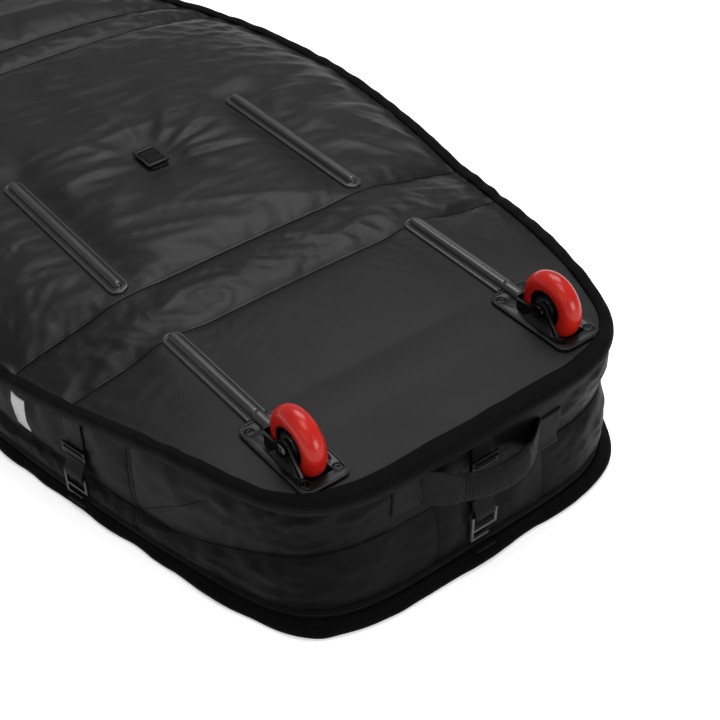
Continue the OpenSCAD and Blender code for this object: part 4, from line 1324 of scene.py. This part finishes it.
TAIL = wall_frame(None, 1)
hook_strap("tail_strap_webbing", "tail_strap", TAIL, 166, 12.1, 59)
ladder_lock("tail_ladder_lock", TAIL, 5.6, 129)
SIDE = {}
for side, tag in ((-1, "left"), (1, "right")):
    SIDE[tag] = wall_frame(365, side)
    hook_strap(f"side_strap_{tag}_webbing", f"side_strap_{tag}", SIDE[tag], float(edge_z(365)) - 6, 9.5, 51)
    ladder_lock(f"side_ladder_lock_{tag}", SIDE[tag], 4.4, 82)

# lid loops for the hooks
loops = []
LOOP = [(-1.5, 12.6), (3, 13.2), (7.2, 14.2), (8.0, 15.0), (6.4, 15.6), (2, 14.8), (-1.5, 14.0)]
for spot, r0 in ((TAIL, 12), (SIDE["left"], 6.6), (SIDE["right"], 6.6)):
    path = smooth_path([on_frame(spot, r0 + r, 0, z) for r, z in LOOP], 1.0, 2)
    loops.append(strap("loop", path, spot[2], 25, 1.1, "lid"))
o = join("lid_hook_loop_webbing", loops)
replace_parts(o, "lid_hook_loops")

# tail handle: flat ends folded into a ribbed grip
H_CX, H_R, H_TILT = 571.8, 105.7, .15
H_Z, H_FOOT = 126, 70  # height of the grip's middle, and of the sewn ends from the bag's middle line
h_end = math.asin(H_FOOT / H_R)


def handle_band(a0, a1, size, ribs=0.0, step=.9, m=28):
    """Band of the handle's arc from angle a0 to a1. size gives its height and thickness."""
    n = int(abs(a1 - a0) * H_R / step)
    ang = np.linspace(a0, a1, n)
    path = np.stack([H_CX + H_R * np.cos(ang), H_R * np.sin(ang), H_Z - H_TILT * H_R * np.sin(ang)], 1)
    out = np.stack([np.cos(ang), np.sin(ang), 0 * ang], 1)
    run = np.abs(ang - a0) * H_R
    th = np.linspace(0, 2 * pi, m, endpoint=False)
    secs = []
    for g, along in zip(ang, run):
        w, t = size(abs(g) / h_end)
        t += ribs * sin(2 * pi * along / 3.1)
        cz = squarish(np.sin(th), .6) * w / 2
        cup = 1.6 * (2 * cz / w) ** 2 * (abs(g) < h_end * .6)
        secs.append(np.stack([squarish(np.cos(th), .34) * t / 2 - cup, cz], 1))
    V, F, _ = tube(path, out, [(0, 0, 1)] * n, np.array(secs))
    return V, F, np.stack([np.repeat(run, m), V[:, 2]], 1)


def grip_size(g):
    """Height and thickness of the ribbed sleeve at a share g of the way to the sewn end."""
    k = float(ease((g - .36) / .16))
    return 33 + 3 * k, 9 - 2 * k


def end_size(g):
    return 35 + 11 * float(ease((g - .48) / .42)), 6.6 - 4.2 * float(ease((g - .48) / .3))


V, F, uv = handle_band(-h_end * .52, h_end * .52, grip_size, 1.3, .5)
solid("tail_handle_sleeve", V, F, "web", "tail_handle", "webbing", ["tail_handle_grip"], uv)
ends = []
for s in (-1, 1):
    V, F, uv = handle_band(s * h_end * .47, s * h_end * 1.06, end_size, .12, 1.2)
    ends.append(solid("end", V, F, "web", "tail_handle", "webbing", (), uv, ride=False))
o = join("tail_handle_webbing", ends)
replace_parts(o, "tail_handle")
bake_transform(o)
anchors = [patch("anchor", TAIL, a0, a1, z - 23, z + 23, "web", "bag", "webbing", thick=2.0)
           for a0, a1, z in ((-106, -70, 138), (70, 102, 111))]
o = join("tail_handle_anchor_webbing", anchors)
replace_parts(o, "tail_handle_anchors")

# nose handle
n_r, n_pts, n_side = 44.2, 90, 20
n_cx = 680 - 1 - n_r
n_end = math.acos((n_r - 40) / n_r)
ang = np.linspace(-n_end, n_end, n_pts)
path = np.stack([-(n_cx + n_r * np.cos(ang)), n_r * np.sin(ang), 42 + 0 * ang], 1)
out = np.stack([-np.cos(ang), np.sin(ang), 0 * ang], 1)
th = np.linspace(0, 2 * pi, n_side, endpoint=False)
section = np.stack([1.1 * squarish(np.cos(th), .3), 13.5 * squarish(np.sin(th), .5)], 1)
V, F, uv = tube(path, out, [(0, 0, 1)] * n_pts, section)
uv = np.stack([np.repeat(np.linspace(0, 2 * n_end * n_r, n_pts), n_side), V[:, 2]], 1)
solid("nose_handle_webbing", V, F, "web", "nose_handle", "webbing", ["nose_handle"], uv)
an = [patch(f"na{side}", wall_frame(-608, side), -13, 13, 29, 55, "web", "bag", "webbing", thick=1.8)
      for side in (-1, 1)]
o = join("nose_anchor_webbing", an)
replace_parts(o, "nose_handle_anchors")

# generic reflective patch, and the strap on the middle panel
SP = wall_frame(283, -1)
pz = float(edge_z(283)) - 58
patch("side_patch_tape", SP, -11, 11, pz, pz + 44, "patch", "bag", "reflective_tape", ["side_patch"], thick=.8,
      step=1.6, box=False)
kz = float(base_z(KEEPER_X, 0)) + .6
HUMPS = [(33, 1.0), (37, 1.2), (41, 2.2), (45, 5.2), (50, 6.4), (53, 5.4), (56, 2.6), (59, 5.4), (62, 6.4), (67, 5.2),
         (71, 2.2), (75, 1.2), (79, 1.0)]
path = smooth_path([(x, 0, kz + h + (x - KEEPER_X) * .042) for x, h in HUMPS], 1.5, 2)
strap("keeper_strap", resample(path, 2.5), (0, 1, 0), 20.5, 1.4, "bag", ["keeper_webbing"])

# straps inside
ties = []
for x in (-170, 170):
    z = float(edge_z(x)) - 14.4 - 1.2 - 4
    for s in (-1, 1):
        y1 = float(half(x + 19 * np.sign(x), -7)) - 1
        pts = [(x, s * y, z + 1 - 1.8 * sin(pi * (y - 18) / (y1 - 18)) + (1.5 if y < 20 else 0))
               for y in (18, 24, 60, 120, 180, 240, y1) if y <= y1]
        ties.append(strap("tie", smooth_path(pts, 3, 2), (1, 0, 0), 37, 1.6, "bag"))
o = join("tie_strap_webbing", ties)
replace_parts(o, "tie_straps")

# ------------------------ stage, light and camera
bpy.ops.mesh.primitive_plane_add(size=40, location=(0, 0, -.0005))
floor = bpy.context.object
floor.name = "floor"
fm = Mat("floor_white", (.93, .93, .93), .8, Specular_IOR_Level=.1, Emission_Strength=.3, Emission_Color=(1, 1, 1, 1))
floor.data.materials.append(fm.m)
floor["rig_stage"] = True

world = bpy.data.worlds.new("studio")
scene.world = world
world.use_nodes = True
world.node_tree.nodes["Background"].inputs["Color"].default_value = (1, 1, 1, 1)
world.node_tree.nodes["Background"].inputs["Strength"].default_value = .36


def area(name, place, target, size, power):
    l = bpy.data.lights.new(name, "AREA")
    l.shape = "RECTANGLE"
    l.size, l.size_y = size
    l.energy = power
    o = add_object(name, l)
    o.location = place
    o.rotation_euler = (Vector(target) - Vector(place)).to_track_quat("-Z", "Y").to_euler()


area("key", (-.9, 1.1, 2.8), (.15, 0, .1), (2.0, 1.6), 84)
area("tail", (3.1, .3, 1.0), (.5, 0, .05), (1.6, 1.0), 46)
area("top", (.8, -.5, 3.2), (.2, 0, .1), (1.6, 1.6), 38)
area("front", (1.6, -2.6, 1.6), (.6, -.5, 0), (2.4, 1.2), 10)

cam = bpy.data.cameras.new("camera")
camera = add_object("camera", cam)
scene.camera = camera
cam.lens, cam.sensor_width, cam.sensor_fit = 72.53, 36, "HORIZONTAL"
cam.clip_start, cam.clip_end = .05, 60
# columns: right, up, backwards and place
camera.matrix_world = Matrix(((.6054, -.5418, .5831, 1.3220), (.7959, .4129, -.4427, -.6544),
                              (-.0009, .7321, .6812, 1.1219), (0, 0, 0, 1)))
scene.view_settings.view_transform = "Standard"

bpy.context.view_layer.update()
({"cad_box": [[float(c) for c in v] for v in CAD_BOX],
           "visual_box": [[float(c) for c in v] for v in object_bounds()]})
